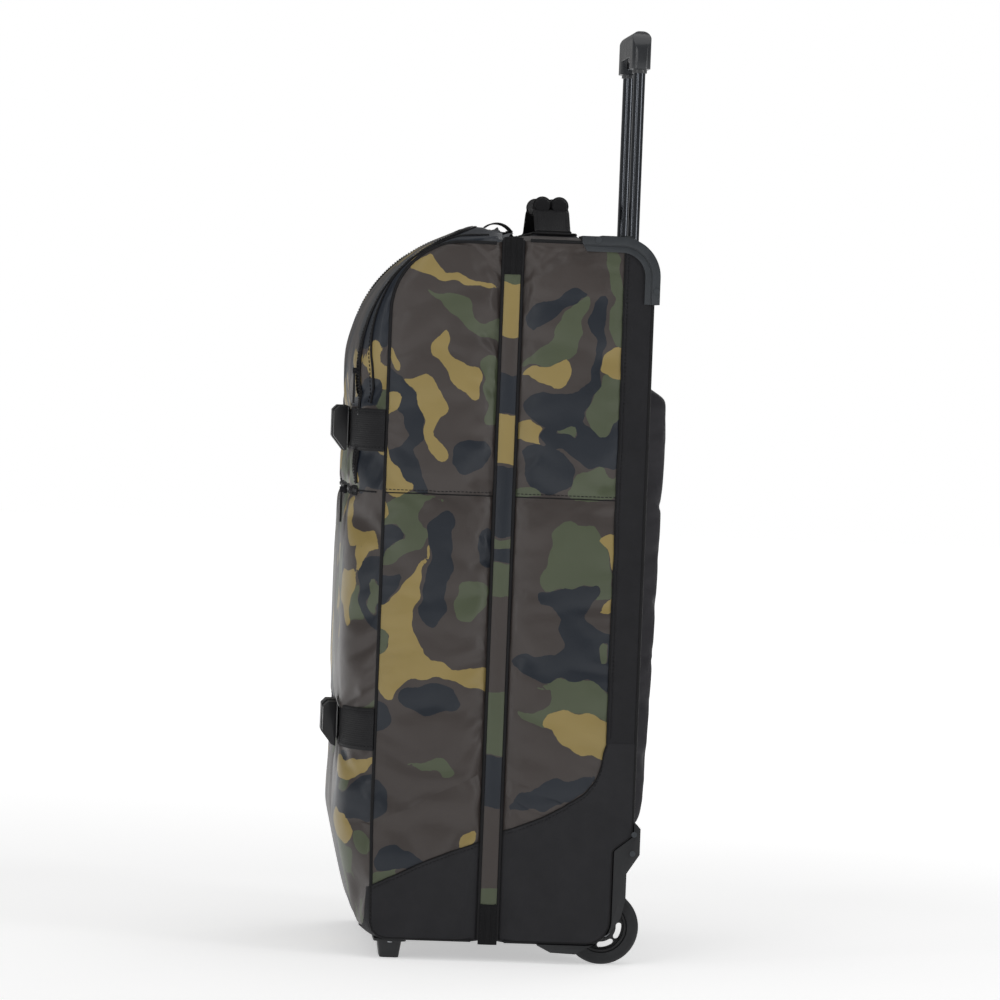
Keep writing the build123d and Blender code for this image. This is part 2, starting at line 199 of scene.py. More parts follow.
def grid_mesh(name, co, faces):
    mesh = bpy.data.meshes.new(name)
    mesh.from_pydata([tuple(c * MM for c in p) for p in co], [], faces)
    mesh.update()
    return mesh


def write_uv(mesh, flat):
    """Gives a mesh the flat coordinates of its vertices, in millimetres, as its UV map."""
    layer = mesh.uv_layers.new(name="UVMap")
    index = np.zeros(len(mesh.loops), int)
    mesh.loops.foreach_get("vertex_index", index)
    layer.data.foreach_set("uv", (np.array(flat) * MM)[index].ravel())


def write_values(mesh, name, values):
    layer = mesh.attributes.new(name, "FLOAT", "POINT")
    layer.data.foreach_set("value", np.asarray(values).astype(np.float32))


def apply_modifiers(obj):
    bpy.context.view_layer.update()
    evaluated = obj.evaluated_get(bpy.context.evaluated_depsgraph_get())
    obj.data = bpy.data.meshes.new_from_object(evaluated)
    obj.modifiers.clear()


def spread(direction, points):
    """The direction at each point, from one for each or one for all."""
    return np.broadcast_to(np.asarray(direction, float), points.shape)


@contextlib.contextmanager
def edited(mesh):
    """Opens a mesh as a bmesh and writes it back."""
    bm = bmesh.new()
    bm.from_mesh(mesh)
    yield bm
    bm.to_mesh(mesh)
    bm.free()


class Soup:
    """Collects faces in millimetres and turns them into one piece."""

    def __init__(self):
        self.co, self.faces, self.mats, self.uvs = [], [], [], []

    def add(self, co, faces, mat=0, uv=None):
        start = len(self.co)
        self.co += [tuple(map(float, p)) for p in co]
        self.uvs += [tuple(map(float, p)) for p in uv] if uv is not None else [(0, 0)] * len(co)
        self.faces += [[start + i for i in f] for f in faces]
        self.mats += [mat] * len(faces)
        return start

    def skin(self, rows, sides, mat, uv, closed=False):
        """Faces between rings of points with sides points each, with both ends shut."""
        count = len(rows) // sides
        faces = []
        for i in range(count if closed else count - 1):
            here, there = i * sides, (i + 1) % count * sides
            for k in range(sides):
                m = (k + 1) % sides
                faces.append((here + k, here + m, there + m, there + k))
        if not closed:
            faces.append(tuple(range(sides - 1, -1, -1)))
            faces.append(tuple((count - 1) * sides + k for k in range(sides)))
        self.add(rows, faces, mat, uv)

    def tube(self, points, radius, sides=10, mat=0, closed=False, squeeze=1.0, up=(0, 0, 1)):
        """A round or oval tube along points."""
        points = np.asarray(points, float)
        tangents = np.gradient(points, axis=0)
        if closed:
            tangents = np.roll(points, -1, 0) - np.roll(points, 1, 0)
        side = np.cross(tangents[0], up)
        side = unit(side) if np.linalg.norm(side) > 1e-6 else np.array((1.0, 0, 0))
        rows, uv, run = [], [], 0.0
        for i, (p, t) in enumerate(zip(points, tangents)):
            t = unit(t)
            side = unit(side - t * (side @ t))
            lift = np.cross(t, side)
            run += np.linalg.norm(p - points[i - 1]) if i else 0
            for k in range(sides):
                a = 2 * math.pi * k / sides
                rows.append(p + radius * (side * math.cos(a) + lift * math.sin(a) * squeeze))
                uv.append((run, radius * a))
        self.skin(rows, sides, mat, uv, closed)

    def ribbon(self, points, across, normals, width, thick, mat=0, crown=0.0):
        """A flat strap with softened edges. across is the direction of its width."""
        points = np.asarray(points, float)
        across, normals = spread(across, points), spread(normals, points)
        edge = min(thick * 0.5, width * 0.2)
        half = width / 2
        top = [(-half + edge, 1.0), (-half * 0.5, 1.0), (0, 1.0), (half * 0.5, 1.0), (half - edge, 1.0)]
        section = [(-half, 0.35)] + top + [(half, 0.35), (half, -0.35)]
        section += [(w, -1.0) for w, _ in reversed(top)] + [(-half, -0.35)]
        rows, uv, run = [], [], 0.0
        for i, (p, n, a) in enumerate(zip(points, normals, across)):
            run += np.linalg.norm(p - points[i - 1]) if i else 0
            for w, level in section:
                bulge = crown * (1 - (w / half) ** 2)
                rows.append(p + a * w + n * (level * thick / 2 + bulge))
                uv.append((run, w))
        self.skin(rows, len(section), mat, uv)

    def brick(self, centre, axes, sizes, mat=0, taper=1.0):
        """A small block with its top narrowed by taper; axes are along, across and out."""
        centre = np.asarray(centre, float)
        along, across, out = [np.asarray(a, float) for a in axes]
        length, width, height = sizes
        co = []
        for k, scale in ((-0.5, 1.0), (0.5, taper)):
            for i, j in ((-1, -1), (1, -1), (1, 1), (-1, 1)):
                co.append(centre + along * i * length / 2 * scale + across * j * width / 2 * scale
                          + out * k * height)
        faces = [(0, 3, 2, 1), (4, 5, 6, 7), (0, 1, 5, 4), (1, 2, 6, 5), (2, 3, 7, 6), (3, 0, 4, 7)]
        self.add(co, faces, mat)

    def teeth(self, centres, along, across, out, sizes, taper):
        """Zip teeth, one at each centre."""
        for place, *axes in zip(centres, along, spread(across, centres), out):
            self.brick(place, axes, sizes, 1, taper)

    def stitches(self, points, normals, mat=0, pitch=4.2, length=2.7, width=0.8, height=0.7):
        """A row of thread stitches along a seam."""
        points = np.asarray(points, float)
        joined = np.concatenate([points, spread(normals, points)], 1)
        reach = run_length(joined[:, :3])
        at = np.arange(pitch / 2, reach[-1], pitch)
        place = np.stack([np.interp(at, reach, joined[:, k]) for k in range(6)], 1)
        ahead = np.stack([np.interp(at + 0.5, reach, joined[:, k]) for k in range(3)], 1)
        for p, q in zip(place, ahead):
            along = q - p[:3]
            if np.linalg.norm(along) < 1e-6:
                continue
            along, out = unit(along), unit(p[3:])
            self.brick(p[:3] + out * 0.1, (along, np.cross(out, along), out), (length, width, height),
                       mat, taper=0.62)

    def piece(self, name, materials, body, flat=False):
        mesh = grid_mesh(name, self.co, self.faces)
        write_uv(mesh, self.uvs)
        mesh.polygons.foreach_set("material_index", self.mats)
        for m in materials:
            mesh.materials.append(m)
        obj = placed(name, mesh)
        tidy_normals(obj)
        if not flat:
            shade(obj)
        if body:
            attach(obj, body)
        return obj


def tidy_normals(obj):
    with edited(obj.data) as bm:
        bmesh.ops.recalc_face_normals(bm, faces=bm.faces)


def shade(obj, angle=38):
    obj.data.polygons.foreach_set("use_smooth", [True] * len(obj.data.polygons))
    obj.data.set_sharp_from_angle(angle=math.radians(angle))


# ---------------------------------------------------------------- materials
class Graph:
    """A material and short calls to add nodes to it."""

    def __init__(self, name):
        self.material = bpy.data.materials.new(name)
        self.material.use_nodes = True
        self.tree = self.material.node_tree
        self.shader = self.tree.nodes["Principled BSDF"]

    def node(self, kind, inputs=None, **settings):
        made = self.tree.nodes.new("ShaderNode" + kind)
        for key, value in settings.items():
            setattr(made, key, value)
        for key, value in (inputs or {}).items():
            if isinstance(value, bpy.types.NodeSocket):
                self.tree.links.new(value, made.inputs[key])
            else:
                made.inputs[key].default_value = value
        return made

    def math(self, operation, a, b=0.0):
        return self.node("Math", {0: a, 1: b}, operation=operation).outputs[0]

    def mix(self, factor, a, b):
        made = self.node("Mix", {"Factor": factor, 6: a, 7: b}, data_type="RGBA")
        return made.outputs[2]

    def noise(self, vector, scale, detail=2.0, roughness=0.5):
        inputs = {"Vector": vector, "Scale": scale, "Detail": detail, "Roughness": roughness}
        return self.node("TexNoise", inputs).outputs["Fac"]

    def range(self, value, low, high, to_low, to_high):
        inputs = {"Value": value, 1: low, 2: high, 3: to_low, 4: to_high}
        return self.node("MapRange", inputs).outputs[0]

    def bump(self, height, strength, distance, normal=None):
        inputs = {"Height": height, "Strength": strength, "Distance": distance}
        if normal is not None:
            inputs["Normal"] = normal
        return self.node("Bump", inputs).outputs[0]

    def place(self, kind):
        return self.node("TexCoord").outputs[kind]

    def finish(self, **values):
        for key, value in values.items():
            socket = self.shader.inputs[key.replace("_", " ")]
            if isinstance(value, bpy.types.NodeSocket):
                self.tree.links.new(value, socket)
            else:
                socket.default_value = value
        return self.material


def weave(g, pitch, ribs=False):
    """Height of a plain weave in the cloth's own flat coordinates."""
    flat = g.node("SeparateXYZ", {0: g.place("UV")})
    turn = 2 * math.pi / (pitch * MM)
    warp = g.math("SINE", g.math("MULTIPLY", flat.outputs[0], turn))
    weft = g.math("SINE", g.math("MULTIPLY", flat.outputs[1], turn * (0.5 if ribs else 1.0)))
    return g.math("MAXIMUM", warp, weft) if ribs else g.math("MULTIPLY", warp, weft)


def fabric_detail(g, pitch, weave_strength, crumple, ribs=False):
    place = g.place("Object")
    rough = g.noise(place, 22.0, 3.0, 0.55)
    folds = g.bump(rough, crumple, 0.006)
    return g.bump(weave(g, pitch, ribs), weave_strength, 0.0004, folds)


def worn(g, colour, scale=30.0, spread=0.12):
    """The colour with a slow variation of its brightness."""
    light = tuple(min(1.0, c * (1 + spread)) for c in colour[:3]) + (1.0,)
    dark = tuple(c * (1 - spread) for c in colour[:3]) + (1.0,)
    return g.mix(g.range(g.noise(g.place("Object"), scale, 4.0, 0.6), 0.3, 0.7, 0, 1), dark, light)


camo_tones = {"green": srgb(84, 92, 70), "khaki": srgb(160, 140, 84), "navy": srgb(25, 33, 44)}


def camo_material():
    """Brown cloth with a tone laid over it wherever that tone's distance is below a ragged edge."""
    g = Graph("camo_fabric")
    colour = worn(g, srgb(70, 63, 60), 12.0, 0.06)
    edge = g.range(g.noise(g.place("Object"), 90.0, 2.0, 0.5), 0.3, 0.7, -0.8, 0.8)
    for name, tone in camo_tones.items():
        field = g.node("Attribute", attribute_name="camo_" + name).outputs["Fac"]
        colour = g.mix(g.math("LESS_THAN", field, edge), colour, worn(g, tone, 12.0, 0.05))
    gloss = g.range(g.noise(g.place("Object"), 9.0, 3.0, 0.5), 0.35, 0.65, 0.36, 0.5)
    normal = fabric_detail(g, 0.9, 0.16, 0.1)
    return g.finish(Base_Color=colour, Roughness=gloss, Normal=normal, Specular_IOR_Level=0.36,
                    Coat_Weight=0.14, Coat_Roughness=0.2)


def cloth_material(name, tone, pitch=0.9, roughness=(0.5, 0.65), crumple=0.1, weave_strength=0.3,
                   ribs=False, specular=0.2):
    g = Graph(name)
    rough = g.range(g.noise(g.place("Object"), 14.0, 3.0), 0.35, 0.65, *roughness)
    normal = fabric_detail(g, pitch, weave_strength, crumple, ribs)
    return g.finish(Base_Color=worn(g, tone), Roughness=rough, Normal=normal,
                    Specular_IOR_Level=specular)


def plastic_material(name, tone, roughness=(0.38, 0.5), grain=900.0, grain_strength=0.12, specular=0.35):
    """Moulded plastic with a fine spark-eroded texture and slight scuffs."""
    g = Graph(name)
    place = g.place("Object")
    scuff = g.noise(place, 60.0, 5.0, 0.65)
    rough = g.range(scuff, 0.35, 0.65, *roughness)
    grain_height = g.noise(place, grain, 2.0, 0.6)
    normal = g.bump(grain_height, grain_strength, 0.0003)
    return g.finish(Base_Color=worn(g, tone, 45.0, 0.08), Roughness=rough, Normal=normal,
                    Specular_IOR_Level=specular)


def metal_material(name, tone, roughness=(0.2, 0.32), metallic=1.0, brush=(160.0, 160.0, 3.0),
                   relief=0.05):
    g = Graph(name)
    stretched = g.node("Mapping", {"Vector": g.place("Object"), "Scale": brush}).outputs[0]
    streaks = g.noise(stretched, 1.0, 3.0, 0.6)
    rough = g.range(streaks, 0.3, 0.7, *roughness)
    normal = g.bump(streaks, relief, 0.0002)
    return g.finish(Base_Color=worn(g, tone, 20.0, 0.06), Roughness=rough, Normal=normal, Metallic=metallic)


camo = camo_material()
black_cloth = cloth_material("black_fabric", srgb(44, 44, 47))
strip_cloth = cloth_material("side_strip_fabric", srgb(38, 38, 41), roughness=(0.55, 0.7))
cover_cloth = cloth_material("back_cover_fabric", srgb(50, 49, 53), pitch=1.1, crumple=0.08)
lining = cloth_material("lining_fabric", srgb(108, 110, 114), pitch=0.6, roughness=(0.4, 0.55), crumple=0.18)
piping_cloth = cloth_material("piping_fabric", srgb(24, 24, 26), roughness=(0.4, 0.55), crumple=0.02)
webbing = cloth_material("black_webbing", srgb(36, 36, 38), pitch=1.1, weave_strength=0.35, crumple=0.02,
                         roughness=(0.55, 0.7), ribs=True)
tape = cloth_material("zip_tape_fabric", srgb(26, 26, 28), pitch=0.8, weave_strength=0.5, crumple=0.02,
                      roughness=(0.6, 0.75))
thread = cloth_material("black_thread", srgb(30, 30, 32), pitch=0.5, crumple=0.0, roughness=(0.5, 0.6))
net = cloth_material("pocket_net", srgb(30, 30, 32), pitch=0.5, crumple=0.0)
hard_plastic = plastic_material("hard_plastic", srgb(56, 60, 64))
housing_plastic = plastic_material("housing_plastic", srgb(42, 43, 45))
buckle_plastic = plastic_material("buckle_plastic", srgb(30, 30, 32), (0.3, 0.42), 1200.0, 0.06)
coil_plastic = plastic_material("zip_coil", srgb(22, 22, 24), (0.25, 0.35), 1200.0, 0.03)
grip_plastic = plastic_material("grip_plastic", srgb(52, 54, 57), (0.18, 0.28), 1500.0, 0.03, 0.5)
button_plastic = plastic_material("button_plastic", srgb(70, 71, 74), (0.35, 0.45), 1200.0, 0.06)
puller_rubber = plastic_material("puller_rubber", srgb(26, 26, 28), (0.5, 0.62), 700.0, 0.1, 0.3)
tyre_rubber = plastic_material("tyre_rubber", srgb(40, 41, 43), (0.5, 0.66), 500.0, 0.15, 0.35)
rim_plastic = plastic_material("rim_plastic", srgb(34, 34, 36), (0.3, 0.42), 900.0, 0.06)
board_plastic = plastic_material("board_plastic", srgb(40, 40, 42), (0.45, 0.6), 300.0, 0.2, 0.3)
tube_metal = metal_material("anodised_tube", srgb(96, 99, 104), (0.12, 0.18), relief=0.01)
slider_metal = metal_material("slider_metal", srgb(40, 40, 42), (0.3, 0.42), brush=(400.0, 400.0, 400.0))
screw_metal = metal_material("blackened_screw", srgb(74, 78, 82), (0.4, 0.5), 0.6, (300.0, 300.0, 300.0))
steel = metal_material("zinc_steel", srgb(178, 180, 184), (0.28, 0.42), brush=(300.0, 300.0, 300.0))


# ---------------------------------------------------------------- shape of the two halves
def share(x):
    """How much of the crown the fabric has reached at a distance from the middle plane."""
    t = max(0.0, (abs(x) - crown_flat) / (half_width - crown_flat))
    return max(0.0, 1 - t * t) ** 0.62


def rim_top(x):
    drop = max(0.0, (abs(x) - crown_flat) / (half_width - crown_flat))
    return rear_edge_top + rear_top_crown * (1 - drop) - 1.5


def lid_path(s, inset):
    front = lid_edge_y - fabric_crown * s + inset
    top = lid_edge_top + lid_top_crown * s - inset
    bottom = base_z + inset
    radius = lid_edge_radius + (lid_middle_radius - lid_edge_radius) * s - inset
    foot = lid_edge_y + 3 - 7 * s + inset
    corners = ((lid_rim_y, bottom), (foot, bottom), (front, 140), (front, top), (lid_rim_y, top))
    return rounded_path(corners, (0, 16 - inset / 2, 60, radius, 0), (12, 10, 76, 5), (0, 3, 4, 18, 0))


def rear_path(s, inset):
    top = rear_edge_top + rear_top_crown * s - inset
    back, step, bottom = rear_edge_y - inset, rear_step_y - inset, base_z + inset
    corners = ((rear_rim_y, bottom), (step, bottom), (step, rear_step_z), (back, rear_step_z + 16),
               (back, top), (rear_rim_y, top))
    return rounded_path(corners, (0, 25 - inset, 4, 4, 34 - inset, 0), (12, 10, 3, 72, 13),
                        (0, 5, 2, 2, 8, 0))


half_stations = (200, 199.2, 197.5, 194.5, 190.5, 185.5, 179, 172, 164, 155, 145, 134, 122, 110, 97,
                 84, 70, 56, 42, 28, 14)
stations = [-x for x in half_stations] + [0] + list(reversed(half_stations))
side_rows = 18
panel_gap = 5000          # keeps the flat coordinates of the three panels apart
out_of_reach = 999        # added to a distance so that the point isn't the nearest
zip_bar_y = -36           # where the pocket zip crosses the top of the lid
near, wrap, far = 0, 1, 2
hinge_draw, zip_draw = 4.5, 1.7    # how far the sides are drawn in at the rim


def turned_in(y, value, target, rim_y, reach=9.0):
    """Draws a coordinate to the zip as the fabric reaches the rim."""
    weight = smooth(1 - abs(y - rim_y) / reach)
    return value + (target - value) * weight


def seam_row(path, rim_y):
    """Index of the point nearest to the middle seam that isn't on the rim."""
    return int(np.argmin(abs(path[:, 1] - seam_z) + (path[:, 0] == rim_y) * out_of_reach))


def wrap_panel(path, rim_y, inset):
    """Front or back, with top and bottom, between the two side seams."""
    co, flat = [], []
    for x in stations:
        at = path(share(x), inset)
        run = run_length(at)
        level = seam_row(at, rim_y)
        run += at[level, 1] - run[level]
        for (y, z), v in zip(at, run):
            goal = rim_top(x) - inset if z > seam_z else base_z + 1.5 + inset
            z = turned_in(y, z, goal, rim_y)
            scale = (half_width - inset) / half_width
            co.append((x * scale, y, z))
            flat.append((x, v))
    return np.array(co), np.array(flat), len(stations), len(at)


def side_panel(path, rim_y, inset, sign):
    """Flat side of a half, from the side seam to the hinge or the zip."""
    edge = path(0.0, inset)
    run = run_length(edge)
    rim_z = edge[0, 1] + (edge[-1, 1] - edge[0, 1]) * run / run[-1]
    co, flat = [], []
    for (y0, z0), z1 in zip(edge, rim_z):
        for k in range(side_rows + 1):
            t = k / side_rows
            y, z = y0 + (rim_y - y0) * t, z0 + (z1 - z0) * t
            drawn = hinge_draw if sign > 0 else zip_draw
            x = turned_in(y, half_width - inset, half_width - inset - drawn, rim_y, 14.0)
            goal = rim_top(half_width) - inset if z0 > seam_z else base_z + 1.5 + inset
            if z0 == edge[0, 1] or z0 == edge[-1, 1]:
                z += (turned_in(y0, z0, goal, rim_y) - z0) * (1 - t)
            co.append((x * sign, y, z))
            flat.append((y, z))
    return np.array(co), np.array(flat), len(edge), side_rows + 1


def grid_faces(rows, columns, start):
    faces = []
    for r in range(rows - 1):
        for c in range(columns - 1):
            a = start + r * columns + c
            faces.append((a, a + columns, a + columns + 1, a + 1))
    return faces


def half_mesh(name, path, rim_y, inset=0.0, inward=False):
    """Mesh of the three panels of one half, with their flat coordinates and the seam vertices."""
    co, flat, faces, edge = [], [], [], []
    middle = np.array((0, rim_y, seam_z))
    for panel, sign in ((near, 1), (wrap, 0), (far, -1)):
        make = side_panel(path, rim_y, inset, sign) if sign else wrap_panel(path, rim_y, inset)
        panel_co, panel_flat, rows, columns = make
        start = len(co)
        panel_faces = grid_faces(rows, columns, start)
        quad = panel_faces[(rows // 2) * (columns - 1) + columns // 2]
        a, b, c = (panel_co[i - start] for i in quad[:3])
        outward = np.cross(b - a, c - b) @ (a - middle) > 0
        if outward == inward:
            panel_faces = [f[::-1] for f in panel_faces]
        faces += panel_faces
        co += list(panel_co)
        flat += [(u + panel * panel_gap, v) for u, v in panel_flat]
        for r in range(rows):
            for c in range(columns):
                edge.append(r in (0, rows - 1) or c in (0, columns - 1))
    mesh = grid_mesh(name, co, faces)
    for k, axis in enumerate(("flat_u", "flat_v")):
        write_values(mesh, axis, np.array(flat)[:, k])
    return placed(name, mesh), np.array(edge)


def read_points(mesh):
    co = np.zeros(len(mesh.vertices) * 3)
    mesh.vertices.foreach_get("co", co)
    return co.reshape(-1, 3) / MM


def read_values(mesh, name):
    values = np.zeros(len(mesh.vertices), np.float32)
    mesh.attributes[name].data.foreach_get("value", values)
    return values.astype(float)


def read_flat(mesh):
    return np.stack([read_values(mesh, "flat_u"), read_values(mesh, "flat_v")], 1)


def vertex_normals(mesh):
    normals = np.zeros(len(mesh.vertices) * 3)
    mesh.vertices.foreach_get("normal", normals)
    return normals.reshape(-1, 3)


cloth_frames = 20


def inflate(obj, pinned, pressure, cap, slack=-0.045):
    """Presses the cloth out from inside like packed clothes, with the pinned vertices sewn down."""
    group = obj.vertex_groups.new(name="pin")
    group.add([int(i) for i in np.nonzero(pinned)[0]], 1.0, "REPLACE")
    cloth = obj.modifiers.new("Cloth", "CLOTH")
    settings = cloth.settings
    settings.quality = 6
    settings.mass = 0.25
    settings.tension_stiffness = 20
    settings.compression_stiffness = 8
    settings.shear_stiffness = 6
    settings.bending_stiffness = 0.4
    settings.shrink_min = slack
    settings.use_pressure = True
    settings.uniform_pressure_force = pressure
    settings.effector_weights.gravity = 0
    settings.vertex_group_mass = "pin"
    cloth.collision_settings.use_collision = False
    for frame_number in range(1, cloth_frames + 1):
        scene.frame_set(frame_number)
    evaluated = obj.evaluated_get(bpy.context.evaluated_depsgraph_get())
    moved = read_points(evaluated.data)
    rest = read_points(obj.data)
    obj.modifiers.remove(cloth)
    obj.vertex_groups.remove(group)
    scene.frame_set(1)
    shift = moved - rest
    length = np.linalg.norm(shift, axis=1, keepdims=True) + 1e-9
    shift *= cap * np.tanh(length / cap) / length
    obj.data.vertices.foreach_set("co", ((rest + shift) * MM).ravel())
    obj.data.update()


def subdivide(obj):
    modifier = obj.modifiers.new("Subdivision", "SUBSURF")
    modifier.levels = modifier.render_levels = 1
    modifier.boundary_smooth = "PRESERVE_CORNERS"
    apply_modifiers(obj)


def clipped(mesh, field):
    """The part of a mesh where field is negative, cut exactly along its zero line."""
    joined = np.concatenate([read_points(mesh), read_flat(mesh), vertex_normals(mesh)], 1)
    rows, faces, index = [], [], {}

    def corner(key, value):
        if key not in index:
            index[key] = len(rows)
            rows.append(value)
        return index[key]

    for polygon in mesh.polygons:
        ring = list(polygon.vertices)
        face = []
        for a, b in zip(ring, ring[1:] + ring[:1]):
            if field[a] <= 0:
                face.append(corner(a, joined[a]))
            if (field[a] <= 0) != (field[b] <= 0):
                low, high = min(a, b), max(a, b)
                t = field[low] / (field[low] - field[high])
                face.append(corner((low, high), joined[low] * (1 - t) + joined[high] * t))
        if len(face) > 2:
            faces.append(face)
    rows = np.array(rows)
    return rows[:, :3], rows[:, 3:5], rows[:, 5:8], faces


class FlatMap:
    """Finds the place and the normal on the fabric for a point in a panel's flat coordinates."""

    def __init__(self, mesh):
        self.co, self.normals = read_points(mesh), vertex_normals(mesh)
        self.flat = [Vector((u, v, 0)) for u, v in read_flat(mesh)]
        self.polygons = [tuple(p.vertices) for p in mesh.polygons]
        self.tree = BVHTree.FromPolygons(self.flat, self.polygons)

    def at(self, panel, u, v, lift=0.0):
        found, _, index, _ = self.tree.find_nearest(Vector((u + panel * panel_gap, v, 0)))
        ring = self.polygons[index]
        weights = poly_3d_calc([self.flat[i] for i in ring], found)
        place = sum(w * self.co[i] for w, i in zip(weights, ring))
        normal = unit(sum(w * self.normals[i] for w, i in zip(weights, ring)))
        return place + normal * lift, normal

    def line(self, panel, points, lift=0.0, spacing=5.0):
        found = [self.at(panel, u, v, lift) for u, v in resampled(points, spacing)]
        return np.array([p for p, _ in found]), np.array([n for _, n in found])


# ---------------------------------------------------------------- camouflage
far_away = 30.0           # distance that a field holds outside of every shape


def outline_distance(points, outline):
    """Signed distance of points to a closed outline, negative inside."""
    a, b = outline, np.roll(outline, -1, axis=0)
    ap = points[:, None] - a[None]
    ab = (b - a)[None]
    t = np.clip((ap * ab).sum(-1) / ((ab * ab).sum(-1) + 1e-9), 0, 1)
    distance = np.linalg.norm(ap - ab * t[..., None], axis=-1).min(1)
    crosses = (a[None, :, 1] > points[:, None, 1]) != (b[None, :, 1] > points[:, None, 1])
    rise = b[:, 1] - a[:, 1]
    rise[abs(rise) < 1e-9] = 1e-9
    at = a[:, 0] + (points[:, None, 1] - a[:, 1]) / rise * (b[:, 0] - a[:, 0])
    inside = (crosses & (points[:, None, 0] < at)).sum(1) % 2 == 1
    return np.where(inside, -distance, distance)


def wobbled(points):
    u, v = points[:, 0], points[:, 1]
    du = 1.6 * np.sin(v / 7.1 + 1.3) + 1.1 * np.sin(v / 3.7 + u / 9.0)
    dv = 1.5 * np.sin(u / 6.3 + 0.4) + 1.0 * np.sin(u / 4.1 - v / 8.0)
    return np.stack([u + du, v + dv], 1)


def blank_fields(count):
    return {tone: np.full(count, far_away) for tone in camo_tones}


def write_fields(mesh, fields):
    for tone, field in fields.items():
        write_values(mesh, "camo_" + tone, field)


def paint(fields, points, shapes):
    """Lays camouflage shapes over each other, each given as a tone and the corners of its outline."""
    for tone, corners in shapes:
        outline = chaikin(corners)
        low, high = outline.min(0) - far_away, outline.max(0) + far_away
        near_by = np.all((points > low) & (points < high), axis=1)
        if not near_by.any():
            continue
        distance = outline_distance(points[near_by], outline)
        for name, field in fields.items():
            now = field[near_by]
            field[near_by] = np.minimum(now, distance) if name == tone else np.maximum(now, -distance)


def random_shapes(seed, low, high, count):
    """Woodland blobs scattered over an area of flat fabric."""
    rng = random.Random(seed)
    shapes = []
    for k in range(count):
        tone = ("green", "khaki", "navy", "brown", "green", "khaki", "navy")[k % 7]
        centre = np.array((rng.uniform(low[0], high[0]), rng.uniform(low[1], high[1])))
        long, short = rng.uniform(26, 62), rng.uniform(11, 24)
        lean = rng.uniform(0, math.pi)
        along = np.array((math.cos(lean), math.sin(lean)))
        across = np.array((-math.sin(lean), math.cos(lean)))
        bend = rng.uniform(-22, 22)
        corners = []
        for i in range(10):
            a = 2 * math.pi * i / 10
            size = rng.uniform(0.62, 1.25)
            p, q = long * math.cos(a) * size, short * math.sin(a) * size
            corners.append(centre + along * p + across * (q + bend * (p / long) ** 2))
        shapes.append((tone, corners))
    return shapes


